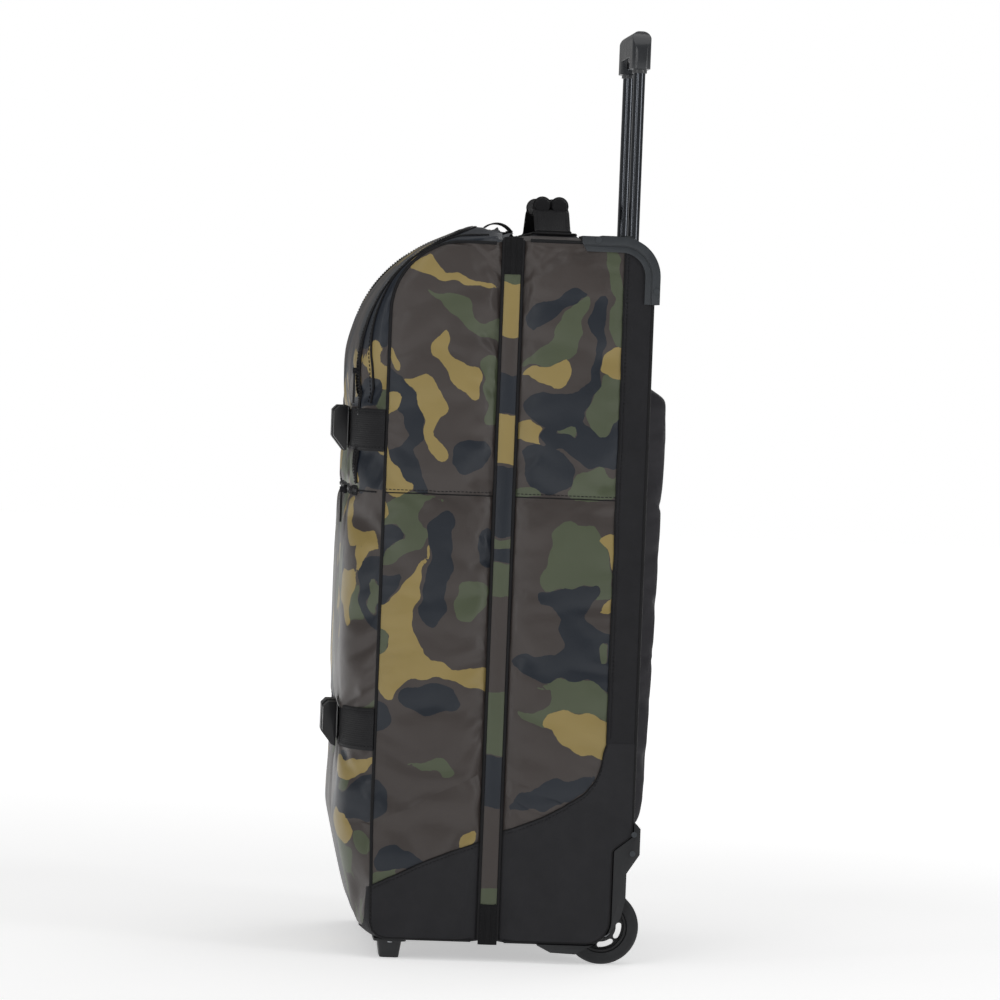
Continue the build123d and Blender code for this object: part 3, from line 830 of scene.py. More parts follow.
lid_side_shapes = (
    ("khaki", ((-105, 718), (-92, 728), (-81, 736), (-78, 725), (-62, 714), (-40, 708), (-18, 706),
               (-8, 697), (-30, 702), (-52, 703), (-78, 710))),
    ("green", ((-92, 698), (-66, 693), (-46, 690), (-37, 680), (-30, 665), (-20, 662), (-4, 672),
               (-4, 640), (-18, 648), (-40, 656), (-58, 672), (-72, 688))),
    ("green", ((-26, 628), (-4, 630), (-4, 556), (-26, 560), (-12, 575), (-22, 588))),
    ("khaki", ((-62, 658), (-72, 652), (-79, 641), (-78, 630), (-66, 624), (-59, 614), (-60, 600),
               (-46, 593), (-27, 583), (-26, 600), (-25, 620), (-42, 620), (-56, 627), (-62, 640))),
    ("navy", ((-124, 624), (-114, 611), (-104, 602), (-92, 594), (-86, 580), (-82, 560), (-80, 545),
              (-85, 535), (-92, 528), (-86, 512), (-78, 498), (-74, 485), (-92, 485), (-101, 500),
              (-110, 515), (-124, 526))),
    ("khaki", ((-109, 604), (-95, 603), (-81, 610), (-71, 600), (-62, 588), (-56, 569), (-68, 567),
               (-75, 556), (-66, 542), (-56, 530), (-58, 520), (-67, 521), (-78, 537), (-83, 550),
               (-86, 574), (-94, 592))),
    ("khaki", ((-123, 638), (-113, 634), (-108, 610), (-114, 615), (-121, 628))),
    ("khaki", ((-120, 589), (-110, 592), (-102, 588), (-107, 578), (-118, 569), (-124, 562))),
    ("brown", ((-122, 566), (-110, 573), (-104, 564), (-103, 552), (-97, 546), (-100, 538), (-112, 534),
               (-120, 528))),
    ("khaki", ((-126, 552), (-119, 532), (-116, 521), (-107, 514), (-101, 501), (-90, 494), (-88, 483),
               (-126, 483))),
    ("navy", ((-54, 528), (-36, 546), (-14, 541), (-10, 522), (-34, 506), (-52, 512))),
    ("green", ((-125, 484.5), (-58, 484.5), (-64, 465), (-72, 448), (-78, 430), (-94, 424), (-125, 398))),
    ("khaki", ((-125, 480), (-118, 474), (-117, 464), (-125, 450))),
    ("brown", ((-86, 468), (-80, 477), (-64, 482), (-62, 470), (-68, 453), (-77, 448), (-84, 457))),
    ("navy", ((-125, 449), (-112, 454), (-101, 450), (-93, 437), (-108, 437), (-117, 428), (-125, 410))),
    ("brown", ((-125, 410), (-108, 413), (-92, 420), (-79, 427), (-80, 416), (-90, 402), (-106, 396),
               (-125, 400))),
    ("navy", ((-125, 402), (-110, 399), (-96, 402), (-102, 392), (-110, 382), (-115, 372), (-125, 364))),
    ("khaki", ((-125, 366), (-113, 373), (-103, 387), (-89, 397), (-80, 412), (-73, 436), (-72, 426),
               (-79, 398), (-84, 370), (-87, 350), (-84, 334), (-73, 320), (-57, 311), (-42, 303),
               (-26, 306), (-3, 305), (-3, 278), (-28, 287), (-52, 294), (-76, 295), (-91, 290),
               (-99, 280), (-104, 269), (-113, 275), (-125, 284))),
    ("green", ((-125, 346), (-114, 342), (-110, 332), (-114, 320), (-125, 314))),
    ("navy", ((-76, 452), (-60, 470), (-44, 456), (-52, 428), (-44, 402), (-58, 386), (-50, 360),
              (-66, 344), (-81, 360), (-78, 392), (-69, 416))),
    ("green", ((-42, 392), (-24, 399), (-8, 388), (-14, 364), (-30, 352), (-46, 362))),
    ("navy", ((-20, 448), (-3, 452), (-3, 408), (-17, 411), (-23, 426))),
    ("navy", ((-94, 282), (-70, 290), (-48, 286), (-30, 272), (-42, 260), (-64, 255), (-84, 260),
              (-98, 268))),
    ("green", ((-92, 203), (-76, 208), (-60, 212), (-46, 208), (-39, 196), (-46, 189), (-58, 198),
               (-74, 202))),
    ("navy", ((-126, 266), (-112, 271), (-104, 258), (-109, 240), (-126, 232))),
    ("navy", ((-126, 186), (-112, 186), (-104, 172), (-108, 150), (-126, 140))),
    ("navy", ((-118, 116), (-100, 119), (-84, 112), (-60, 105), (-82, 92), (-114, 88))),
    ("green", ((-126, 80), (-112, 92), (-86, 94), (-98, 80), (-126, 66))),
    ("khaki", ((-34, 118), (-28, 132), (-12, 135), (-10, 126), (-18, 120))),
)
rear_side_shapes = (
    ("navy", ((23, 682), (42, 689), (58, 699), (74, 704), (86, 698), (70, 688), (52, 674), (34, 661),
              (22, 654))),
    ("green", ((84, 700), (74, 692), (62, 678), (52, 662), (44, 647), (28, 630), (16, 620), (34, 621),
               (56, 624), (71, 629), (75, 648), (80, 672), (86, 692))),
    ("khaki", ((14, 612), (32, 620), (52, 624), (70, 629), (68, 612), (62, 599), (46, 602), (28, 608))),
    ("navy", ((22, 590), (48, 597), (70, 590), (88, 612), (96, 640), (84, 668), (94, 700), (104, 690),
              (102, 650), (100, 618), (94, 584), (78, 562), (48, 557), (24, 566))),
    ("green", ((96, 750), (112, 744), (119, 712), (124, 690), (124, 643), (111, 644), (106, 664),
               (110, 690), (106, 720))),
    ("khaki", ((99, 617), (103, 634), (111, 644), (126, 646), (127, 611), (110, 611))),
    ("green", ((103, 615), (110, 612), (127, 612), (126, 578), (113, 562), (104, 546), (97, 547),
               (84, 569), (91, 588))),
    ("khaki", ((12, 564), (30, 562), (39, 560), (37, 549), (43, 538), (30, 542), (12, 545))),
    ("navy", ((40, 560), (62, 561), (84, 568), (96, 550), (104, 547), (113, 564), (126, 580), (126, 519),
              (100, 517), (84, 521), (70, 533), (50, 541), (39, 547))),
    ("green", ((46, 557), (60, 556), (75, 561), (77, 547), (64, 551))),
    ("navy", ((22, 538), (48, 541), (66, 532), (76, 514), (73, 492), (50, 489), (30, 495), (22, 512))),
    ("green", ((71, 484), (74, 500), (80, 516), (104, 521), (110, 509), (118, 509), (126, 520),
               (126, 484))),
    ("green", ((12, 492), (34, 497), (46, 488), (30, 484.5), (12, 484.5))),
    ("green", ((62, 459), (82, 460), (100, 457), (109, 445), (116, 430), (121, 408), (121, 384),
               (104, 378), (84, 386), (44, 389), (50, 412), (55, 436))),
    ("khaki", ((103, 442), (112, 447), (126, 452), (126, 420), (118, 408), (115, 428))),
    ("khaki", ((122, 390), (114, 378), (105, 364), (124, 370))),
    ("navy", ((42, 391), (60, 388), (78, 392), (88, 398), (97, 394), (107, 397), (106, 385), (97, 377),
              (94, 360), (110, 346), (126, 345), (126, 280), (112, 286), (104, 296), (72, 294), (58, 292),
              (38, 298), (14, 312), (26, 320), (46, 323), (64, 320), (74, 330), (65, 342), (71, 358),
              (60, 371), (44, 377))),
    ("green", ((108, 334), (118, 336), (119, 316), (111, 314))),
    ("green", ((38, 290), (56, 292), (68, 297), (90, 297), (106, 295), (114, 285), (126, 284), (126, 246),
               (80, 252), (52, 246), (20, 260), (44, 262), (60, 266), (63, 276), (60, 286))),
    ("khaki", ((50, 250), (58, 260), (74, 265), (92, 264), (126, 254), (126, 215), (100, 217), (84, 226),
               (68, 235), (58, 246))),
    ("navy", ((16, 155), (28, 170), (46, 184), (66, 193), (92, 194), (114, 198), (104, 183), (88, 173),
              (70, 164), (52, 157), (44, 165), (28, 157))),
)
lid_front_shapes = (
    ("brown", ((208, 350), (208, 256), (112, 256), (104, 300), (118, 344), (150, 352))),
    ("navy", ((210, 905), (210, 640), (176, 632), (120, 650), (90, 720), (110, 800), (60, 860), (100, 905))),
    ("khaki", ((186, 752), (210, 758), (210, 736), (170, 728), (120, 742), (90, 764), (120, 776))),
    ("khaki", ((196, 606), (196, 642), (182, 641), (183, 605))),
    ("khaki", ((168, 612), (166, 628), (130, 632), (112, 620), (134, 606), (158, 596), (150, 580),
               (168, 590))),
    ("navy", ((194, 604), (172, 603), (168, 590), (172, 574), (196, 570))),
    ("green", ((204, 524), (186, 520), (186, 508), (200, 506))),
    ("green", ((172, 530), (150, 524), (160, 500), (180, 490), (166, 486), (140, 492), (130, 520))),
    ("navy", ((204, 526), (176, 530), (164, 512), (176, 496), (190, 486), (206, 490))),
    ("khaki", ((168, 480), (158, 470), (164, 446), (184, 441), (196, 444), (198, 430), (186, 418),
               (176, 430), (160, 424), (150, 448), (146, 476))),
    ("khaki", ((178, 404), (160, 402), (130, 398), (120, 370), (150, 366), (158, 344), (170, 348),
               (166, 372), (178, 388))),
    ("navy", ((204, 420), (190, 418), (182, 400), (180, 372), (188, 352), (204, 336))),
    ("green", ((200, 396), (192, 390), (191, 366), (200, 352))),
    ("khaki", ((204, 214), (190, 205), (166, 203), (140, 206), (126, 192), (150, 184), (184, 183),
               (196, 196))),
    ("navy", ((206, 200), (190, 184), (170, 170), (130, 172), (104, 160), (130, 148), (180, 144),
              (206, 138))),
    ("khaki", ((172, 150), (140, 152), (118, 138), (138, 120), (178, 118), (186, 134))),
    ("green", ((198, 132), (182, 128), (184, 112), (200, 106))),
    ("green", ((176, 116), (150, 118), (140, 96), (160, 84), (178, 96))),
)


def paint_camo(mesh, side_shapes, front_shapes, seed):
    """Writes one signed distance per tone to the mesh; the shader colours where it is negative."""
    flat = read_flat(mesh)
    fields = blank_fields(len(flat))
    panel = np.round(flat[:, 0] / panel_gap).astype(int)
    plans = (
        (near, list(side_shapes)),
        (wrap, random_shapes(seed, (-210, -60), (200, 960), 150) + list(front_shapes)),
        (far, random_shapes(seed + 1, (-160, 0), (160, 770), 130)),
    )
    for which, shapes in plans:
        chosen = panel == which
        local = wobbled(flat[chosen] - np.array((which * panel_gap, 0)))
        part = {tone: field[chosen] for tone, field in fields.items()}
        paint(part, local, shapes)
        for tone in fields:
            fields[tone][chosen] = part[tone]
    write_fields(mesh, fields)


# ---------------------------------------------------------------- fields that zone the fabric
def well_field(co):
    """Negative inside the wheel wells."""
    round_part = np.hypot(co[:, 1] - wheel_y, co[:, 2] - wheel_z) - well_radius
    x = abs(co[:, 0])
    return np.maximum(round_part, np.maximum(well_x[0] - x, x - well_x[1]))


# Upper edges of the black base panels in the side view, as (y, z).
rear_boot_line = ((-50, 114), (10, 134), (40, 145), (60, 154), (80, 165), (100, 179), (110, 191),
                  (116, 206), (118, 222), (121, 232), (200, 232))
lid_boot_line = ((-200, 28), (-128, 28), (-124, 34), (-123, 74), (-110, 80), (-98, 86), (-60, 105),
                 (-10, 124), (20, 136))


def below_line(co, line):
    """Negative below a line drawn across the side view."""
    line = np.array(line)
    return co[:, 2] - np.interp(co[:, 1], line[:, 0], line[:, 1])


# Soft folds of the side panels: start, end, depth and half width, in flat coordinates.
lid_creases = (
    ((-9, 668), (-34, 606), 3.0, 7), ((-8, 590), (-44, 548), 2.6, 7), ((-70, 655), (-112, 622), 2.0, 8),
    ((-118, 560), (-78, 572), 2.4, 7), ((-10, 520), (-56, 498), 2.2, 6), ((-8, 440), (-36, 372), 3.0, 8),
    ((-119, 430), (-84, 390), 2.4, 8), ((-9, 330), (-60, 346), 2.4, 7), ((-60, 268), (-112, 246), 2.2, 8),
    ((-10, 236), (-48, 196), 2.8, 8), ((-116, 176), (-72, 152), 2.4, 8), ((-30, 700), (-76, 688), 1.8, 7),
)
rear_creases = (
    ((18, 706), (34, 640), 2.4, 8), ((16, 586), (60, 552), 2.2, 7), ((112, 640), (80, 604), 2.2, 8),
    ((18, 392), (66, 466), 2.8, 8), ((112, 500), (74, 520), 1.8, 7), ((17, 330), (58, 296), 2.4, 8),
    ((110, 330), (78, 360), 2.0, 8), ((17, 224), (64, 206), 2.4, 8), ((20, 520), (40, 556), 1.8, 6),
)


def crease(obj, creases, pinned):
    """Presses the folds into both side panels, fading out where the cloth is sewn down."""
    mesh = obj.data
    co, normals = read_points(mesh), vertex_normals(mesh)
    flat = read_flat(mesh)
    panel = np.round(flat[:, 0] / panel_gap).astype(int)
    flat[:, 0] -= panel * panel_gap
    depth = np.zeros(len(co))
    for start, end, deep, width in creases:
        a, b = np.array(start, float), np.array(end, float)
        t = np.clip(((flat - a) @ (b - a)) / ((b - a) @ (b - a)), 0, 1)
        distance = np.linalg.norm(flat - a - t[:, None] * (b - a), axis=1)
        fade = (1 - 0.75 * t) * deep
        depth = np.maximum(depth, fade * np.exp(-(distance / width) ** 2))
    depth[pinned | (panel == wrap)] = 0
    mesh.vertices.foreach_set("co", ((co - normals * depth[:, None]) * MM).ravel())
    mesh.update()


fabric_pressure = 3.0


def hold_behind_rim(mesh, rim_y):
    """Keeps the pressed-out fabric from bulging across the plane of its rim."""
    co = read_points(mesh)
    side = np.sign(co[:, 1].mean() - rim_y)
    co[:, 1] = rim_y + side * np.maximum(side * (co[:, 1] - rim_y), 0)
    mesh.vertices.foreach_set("co", (co * MM).ravel())
    mesh.update()


def make_half(name, path, rim_y, stiff, side_shapes, front_shapes, creases, seed, cap):
    """One half of the bag: sewn panels, pressed out by up to cap, folded and painted."""
    obj, edge = half_mesh(name, path, rim_y)
    co = read_points(obj.data)
    on_seam = abs(co[:, 2] - seam_z) < 4
    pinned = edge | on_seam | stiff(co)
    inflate(obj, pinned, fabric_pressure, cap)
    hold_behind_rim(obj.data, rim_y)
    crease(obj, creases, pinned)
    subdivide(obj)
    paint_camo(obj.data, side_shapes, front_shapes, seed)
    return obj


def lid_stiff(co):
    held = below_line(co, lid_boot_line) < 0
    for level in ("upper", "lower"):
        low, high = node_box("front_strap_" + level)
        held |= (abs(co[:, 2] - (low[2] + high[2]) / 2) < 16) & (co[:, 1] < lid_edge_y)
    return held


def rear_stiff(co):
    frame_side = (co[:, 1] > side_strip_y) | (co[:, 2] > rear_edge_top - 8)
    return (below_line(co, rear_boot_line) < 0) | frame_side


def cut_wells(obj):
    """Opens the fabric where the wheels stand."""
    field = well_field(read_points(obj.data))
    with edited(obj.data) as bm:
        doomed = [f for f in bm.faces if all(field[v.index] < 0 for v in f.verts)]
        bmesh.ops.delete(bm, geom=doomed, context="FACES")


def close_half(obj, body, slot_name, *nodes):
    write_uv(obj.data, read_flat(obj.data))
    obj.data.materials.append(camo)
    shade(obj, 60)
    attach(obj, body)
    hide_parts(*nodes)


lid_fabric = make_half("lid_fabric", lid_path, lid_rim_y, lid_stiff, lid_side_shapes, lid_front_shapes,
                       lid_creases, 11, 7.0)
rear_top_shapes = (("brown", ((96, 725), (215, 725), (215, 930), (96, 930))),)
rear_fabric = make_half("rear_fabric", rear_path, rear_rim_y, rear_stiff, rear_side_shapes, rear_top_shapes,
                        rear_creases, 23, 6.0)
lid_map, rear_map = FlatMap(lid_fabric.data), FlatMap(rear_fabric.data)


def thicken(obj, thick, offset):
    solid = obj.modifiers.new("Thickness", "SOLIDIFY")
    solid.thickness = thick * MM
    solid.offset = offset
    apply_modifiers(obj)


def overlay(name, source, field, lift, thick, material, body):
    """A second layer of cloth sewn on the fabric where field is negative."""
    co, flat, normals, faces = clipped(source.data, field)
    soup = Soup()
    soup.add(co + normals * lift, faces, 0, flat)
    obj = soup.piece(name, [material], None)
    thicken(obj, thick, -1)
    shade(obj, 40)
    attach(obj, body)
    return obj


def make_boots():
    lid_co = read_points(lid_fabric.data)
    boot = overlay("lid_base_panel", lid_fabric, below_line(lid_co, lid_boot_line), 1.4, 1.6, black_cloth,
                   "lid")
    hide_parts("lid_boot")
    rear_co = read_points(rear_fabric.data)
    outside_wells = -well_field(rear_co)
    boot_field = np.maximum(below_line(rear_co, rear_boot_line), outside_wells)
    boot = overlay("rear_base_panel", rear_fabric, boot_field, 1.4, 1.6, black_cloth, "chassis")
    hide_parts("rear_boot")
    strip_field = np.maximum(side_strip_y - rear_co[:, 1], -below_line(rear_co, rear_boot_line) - 6)
    overlay("rear_side_strips", rear_fabric, strip_field, 1.0, 1.1, strip_cloth, "chassis")


def make_linings():
    for name, path, rim_y, body in (("lid_lining", lid_path, lid_rim_y, "lid"),
                                    ("rear_lining", rear_path, rear_rim_y, "chassis")):
        obj, _ = half_mesh(name, path, rim_y, wall, inward=True)
        if body == "chassis":
            cut_wells(obj)
        write_uv(obj.data, read_flat(obj.data))
        obj.data.materials.append(lining)
        shade(obj, 60)
        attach(obj, body)


make_boots()
cut_wells(rear_fabric)
make_linings()
close_half(lid_fabric, "lid", "camo_fabric", "lid_shell")
close_half(rear_fabric, "chassis", "camo_fabric", "rear_shell")


# ---------------------------------------------------------------- piping and seams
stitch_gap = 3.4                      # from a seam to the stitches beside it
strip_foot_z, strip_top_z = 232, 745  # ends of the black strips beside the back


def side_line(path, sign, start, stop):
    at = path(0.0, 0.0)[start:stop]
    return np.array([(sign * half_width, y, z) for y, z in at])


def make_piping():
    lid_seams = Soup()
    rear_seams = Soup()
    for sign, panel in ((1, near), (-1, far)):
        lid_seams.tube(side_line(lid_path, sign, 1, -1), 1.8, up=(1, 0, 0))
        rear_seams.tube(side_line(rear_path, sign, 1, -1), 1.9, up=(1, 0, 0))
        for soup, body_map, rim_y, edge_y in ((lid_seams, lid_map, lid_rim_y, lid_edge_y),
                                             (rear_seams, rear_map, rear_rim_y, side_strip_y)):
            cross = ((edge_y, seam_z), (rim_y, seam_z))
            soup.tube(body_map.line(panel, cross, 0.2)[0], 0.6, 8)
            soup.stitches(*body_map.line(panel, [(u, v + stitch_gap) for u, v in cross], 0.25), 1)
    front = ((-half_width + 4, seam_z), (half_width - 4, seam_z))
    lid_seams.tube(lid_map.line(wrap, front, 0.2)[0], 0.9, 8)
    lid_seams.piece("lid_piping", [piping_cloth, thread], "lid")
    rear_seams.piece("rear_piping", [piping_cloth, thread], "chassis")


def boot_seam(soup, fabric, panel, line, low_y, high_y):
    """Cord along the upper edge of a base panel, over a row of stitches."""
    boot = [p for p in line if low_y < p[0] < high_y]
    soup.stitches(*fabric.line(panel, [(y, z - 3.6) for y, z in boot], 1.6), 1)
    soup.tube(fabric.line(panel, boot, 1.0)[0], 0.8, 8)


def make_strip_seams():
    """Lines of the black base panels and of the strips beside the back."""
    rear = Soup()
    lid = Soup()
    for panel in (near, far):
        edge = [(side_strip_y - 0.4, z) for z in (strip_foot_z, strip_top_z)]
        rear.tube(rear_map.line(panel, edge, 0.8)[0], 1.0, 8)
        inner = [(side_strip_y + stitch_gap, z) for z in (strip_foot_z + 4, strip_top_z)]
        rear.stitches(*rear_map.line(panel, inner, 1.2), 1)
        boot_seam(rear, rear_map, panel, rear_boot_line, rear_rim_y - 4, side_strip_y + 1)
        boot_seam(lid, lid_map, panel, lid_boot_line, lid_edge_y - 3, lid_rim_y)
    rear.piece("rear_panel_seams", [piping_cloth, thread], "chassis")
    lid.piece("lid_panel_seams", [piping_cloth, thread], "lid")


make_piping()
make_strip_seams()


# ---------------------------------------------------------------- hinge strip and main zip
strip_low, strip_high = node_box("hinge_strip")
strip_bands = (
    ("green", 704, 720), ("khaki", 650, 706), ("navy", 570, 612), ("khaki", 518, 570), ("navy", 442, 516),
    ("green", 430, 440), ("navy", 416, 430), ("green", 380, 415), ("green", 215, 281), ("navy", 160, 214),
    ("green", 55, 76),
)


def make_hinge_strip():
    y0, y1, z0, z1 = strip_low[1] - 0.6, strip_high[1] + 0.6, strip_low[2], strip_high[2]
    rows, columns = 240, 9
    co, flat = [], []
    for i in range(rows):
        z = z0 + (z1 - z0) * i / (rows - 1)
        for k in range(columns):
            t = k / (columns - 1)
            bow = 1.8 * (1 - (2 * t - 1) ** 2) * (1 + 0.25 * math.sin(z / 31))
            co.append((half_width - 1.4 + bow, y0 + (y1 - y0) * t, z))
            flat.append((y0 + (y1 - y0) * t, z))
    soup = Soup()
    soup.add(co, grid_faces(rows, columns, 0), 0, flat)
    obj = soup.piece("hinge_strip_fabric", [camo], None)
    points = wobbled(np.array(flat))
    fields = blank_fields(len(flat))
    paint(fields, points, [(tone, ((-40, low), (60, low + 4), (60, high + 3), (-40, high)))
                           for tone, low, high in strip_bands])
    write_fields(obj.data, fields)
    thicken(obj, 1.2, -1 if obj.data.polygons[0].normal.x > 0 else 1)
    shade(obj, 50)
    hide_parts("hinge_strip")
    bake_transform(obj)


def make_strip_cords():
    """Bound edges on both sides of the fabric hinge."""
    for name, y, body in (("lid_hinge_binding", lid_rim_y - 0.6, "lid"),
                          ("rear_hinge_binding", rear_rim_y + 0.6, "chassis")):
        soup = Soup()
        line = [(half_width - 1.6, y, z) for z in np.linspace(base_z + 1, rear_edge_top, 120)]
        soup.tube(line, 1.9, 10, up=(1, 0, 0))
        soup.piece(name, [piping_cloth], body)


def rim_ring(inset, end_x=190.0):
    """Line of the zip over the top, down the far side and along the bottom, as (x, z)."""
    side = -half_width + inset
    corners = ((end_x, rim_top(end_x) + 1.5 - inset), (crown_flat, rear_edge_top + rear_top_crown - inset),
               (-crown_flat, rear_edge_top + rear_top_crown - inset), (side, rear_edge_top - inset),
               (side, base_z + inset), (end_x, base_z + inset))
    return rounded_path(corners, (0, 0, 0, 10, 10, 0), (12, 52, 12, 146, 78), (0, 0, 0, 6, 6, 0))


def make_main_zip():
    ring = resampled(rim_ring(1.6), 3.0)
    ahead = directions(ring)
    out = np.stack([ahead[:, 1], np.zeros(len(ring)), -ahead[:, 0]], 1)
    out *= np.sign(np.sum(out[:, [0, 2]] * (ring - np.array((0, 390))), axis=1, keepdims=True))
    along = np.stack([ahead[:, 0], np.zeros(len(ring)), ahead[:, 1]], 1)
    for name, body, rim, sign, node in (("lid_zip", "lid", lid_rim_y, -1, "zip_chain_lid"),
                                        ("rear_zip", "chassis", rear_rim_y, 1, "zip_chain_rear")):
        soup = Soup()
        y = (rim + zip_y + sign * 1.2) / 2
        width = abs(rim - zip_y) + 0.6
        line = np.stack([ring[:, 0], np.full(len(ring), y), ring[:, 1]], 1)
        soup.ribbon(line, (0, 1, 0), out, width, 1.3)
        centres = line + out * 0.9
        centres[:, 1] = zip_y + sign * 1.5
        soup.teeth(centres, along, (0, 1, 0), out, (1.7, 2.9, 2.2), 0.75)
        seam = line + out * 0.75
        seam[:, 1] = rim - sign * 2.0
        soup.stitches(seam, out, 2, pitch=3.4, length=2.2, width=0.6)
        obj = soup.piece(name, [tape, coil_plastic, thread], body)
        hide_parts(node)


def make_garages():
    """Black ends of the zip above and below the fabric hinge."""
    soup = Soup()
    for low, high in ((strip_high[2] + 0.3, rear_edge_top + 2.5), (base_z - 4, strip_low[2] - 0.3)):
        zs = np.linspace(low, high, 14)
        centre_y = (strip_low[1] + strip_high[1]) / 2
        width = strip_high[1] - strip_low[1]
        line = [(half_width - 0.8, centre_y, z) for z in zs]
        soup.ribbon(line, (0, 1, 0), (1, 0, 0), width + 1.5, 2.4, crown=1.3)
        for offset in (-3.2, 3.2):
            ridge = [(half_width + 1.0, centre_y + offset, z) for z in zs]
            soup.tube(ridge, 1.0, 8, up=(1, 0, 0))
        for offset in (-7.2, 7.2):
            row = [(half_width + 0.75, centre_y + offset, z) for z in zs]
            soup.stitches(row, (1, 0, 0), 1, pitch=3.6)
    obj = soup.piece("zip_end_patches", [tape, thread], "chassis")
    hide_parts("zip_garages")


make_hinge_strip()
make_strip_cords()
make_main_zip()
make_garages()


# ---------------------------------------------------------------- pocket zips
leg_x, cross_x, welt_x = 165, 168, 186    # half widths of the two zips and of the bound edges


def make_pocket_zips():
    bar_v, corner = lid_map_top(), 44
    legs = ((leg_x, seam_z + 8), (leg_x, bar_v), (-leg_x, bar_v), (-leg_x, seam_z + 8))
    route = rounded_path(legs, (0, corner, corner, 0), (60, 60, 60), (0, 12, 12, 0))
    zip_on_front("pocket_zip_long", route, "pocket_zip_upper")
    low = np.array([(x, seam_z) for x in np.linspace(-cross_x, cross_x, 60)])
    zip_on_front("pocket_zip_cross", low, "pocket_zip_lower")


def make_pocket_welts():
    """Bound edges of the pocket beside its zip, close to the side seams."""
    soup = Soup()
    for sign in (-1, 1):
        route = [(sign * welt_x, v) for v in np.linspace(seam_z + 92, lid_map_top() + 6, 90)]
        soup.tube(lid_map.line(wrap, route, 0.5)[0], 1.3, 8)
        soup.stitches(*lid_map.line(wrap, [(u - sign * stitch_gap, v) for u, v in route], 0.3), 1)
    soup.piece("pocket_welts", [piping_cloth, thread], "lid")


def lid_map_top():
    """Flat height, along the curve of the front, of the bar of the pocket zip on top of the lid."""
    path = lid_path(1.0, 0.0)
    run = run_length(path)
    level = seam_row(path, lid_rim_y)
    bar = int(np.argmin(abs(path[:, 0] - zip_bar_y) + (path[:, 1] < seam_z) * out_of_reach))
    return seam_z + run[bar] - run[level]


def zip_on_front(name, route, node):
    soup = Soup()
    points, normals = lid_map.line(wrap, route, 0.0, 3.0)
    ahead = directions(points)
    across = np.cross(normals, ahead)
    soup.ribbon(points + normals * 0.5, across, normals, 11.0, 0.9)
    soup.teeth(points + normals * 1.3, ahead, across, normals, (1.8, 4.2, 1.5), 0.72)
    for side in (-4.4, 4.4):
        soup.stitches(points + across * side + normals * 0.95, normals, 2, pitch=3.6, width=0.6)
    obj = soup.piece(name, [tape, coil_plastic, thread], "lid")
    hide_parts(node)


make_pocket_zips()
make_pocket_welts()


# ---------------------------------------------------------------- compression straps
strap_lift, strap_thick = 2.4, 2.0
tab_lift, tab_thick = 0.9, 1.4


def strap_line(z, x0, x1, lift):
    line, normals = lid_map.line(wrap, ((x0, z), (x1, z)), 0.0, 3.0)
    return line + normals * lift, normals


def make_strap(name, body, z, x0, x1, height):
    """Webbing over the front of the lid, stitched along both edges."""
    soup = Soup()
    line, normals = strap_line(z, x0, x1, strap_lift)
    soup.ribbon(line, (0, 0, 1), normals, height, strap_thick)
    for side in (-height / 2 + 4, height / 2 - 4):
        row = line + np.array((0, 0, side)) + normals * 1.05
        soup.stitches(row, normals, 1, pitch=4.6)
    return soup.piece(name, [webbing, thread], body)


def make_straps():
    for level in ("upper", "lower"):
        low, high = node_box("front_strap_" + level)
        z, height = (low[2] + high[2]) / 2, high[2] - low[2]
        female_x = node_box("buckle_female_" + level)[0][0]
        male_x = node_box("buckle_male_" + level)[1][0]
        obj = make_strap("compression_strap_" + level, "lid", z, -half_width + 0.3, female_x + 6, height)
        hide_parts("front_strap_" + level)
        obj = make_strap("compression_tail_" + level, None, z, male_x - 5, half_width - 0.3, height)
        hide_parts("strap_tail_" + level)
        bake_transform(obj)
        make_strap_back(level, z, female_x, male_x, height)


def make_strap_back(level, z, x0, x1, height):
    """Padded tab behind the buckle."""
    soup = Soup()
    line, normals = strap_line(z, x0 + 4, x1 - 4, tab_lift)
    soup.ribbon(line, (0, 0, 1), normals, height - 4, tab_thick)
    soup.piece("buckle_tab_" + level, [webbing], "lid")


make_straps()


# ---------------------------------------------------------------- hard parts with softened edges
edge_angle = 32           # degrees between two faces that make an edge to roll


def softened(node, material, width=0.5, segments=2):
    """A copy of a CAD node with rolled edges, which stands for it."""
    source = frame["nodes"][node]
    body = source["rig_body"]
    mesh = source.data.copy()
    with edited(mesh) as bm:
        bmesh.ops.remove_doubles(bm, verts=bm.verts, dist=2e-6)
        bmesh.ops.dissolve_limit(bm, angle_limit=math.radians(0.6), verts=bm.verts, edges=bm.edges)
    mesh.materials.clear()
    mesh.materials.append(material)
    obj = placed(node + "_moulding", mesh)
    if mesh.attributes.get("custom_normal"):
        mesh.attributes.remove(mesh.attributes["custom_normal"])
    bevel = obj.modifiers.new("Edges", "BEVEL")
    bevel.width = width * MM
    bevel.segments = segments
    bevel.limit_method = "ANGLE"
    bevel.angle_limit = math.radians(edge_angle)
    bevel.harden_normals = False
    apply_modifiers(obj)
    shade(obj, edge_angle)
    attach(obj, body)
    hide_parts(node)
    return obj


def dressed(node, material):
    """A CAD node keeps its mesh and gets a detailed material."""
    obj = frame["nodes"][node]
    obj.data.materials.clear()
    obj.data.materials.append(material)


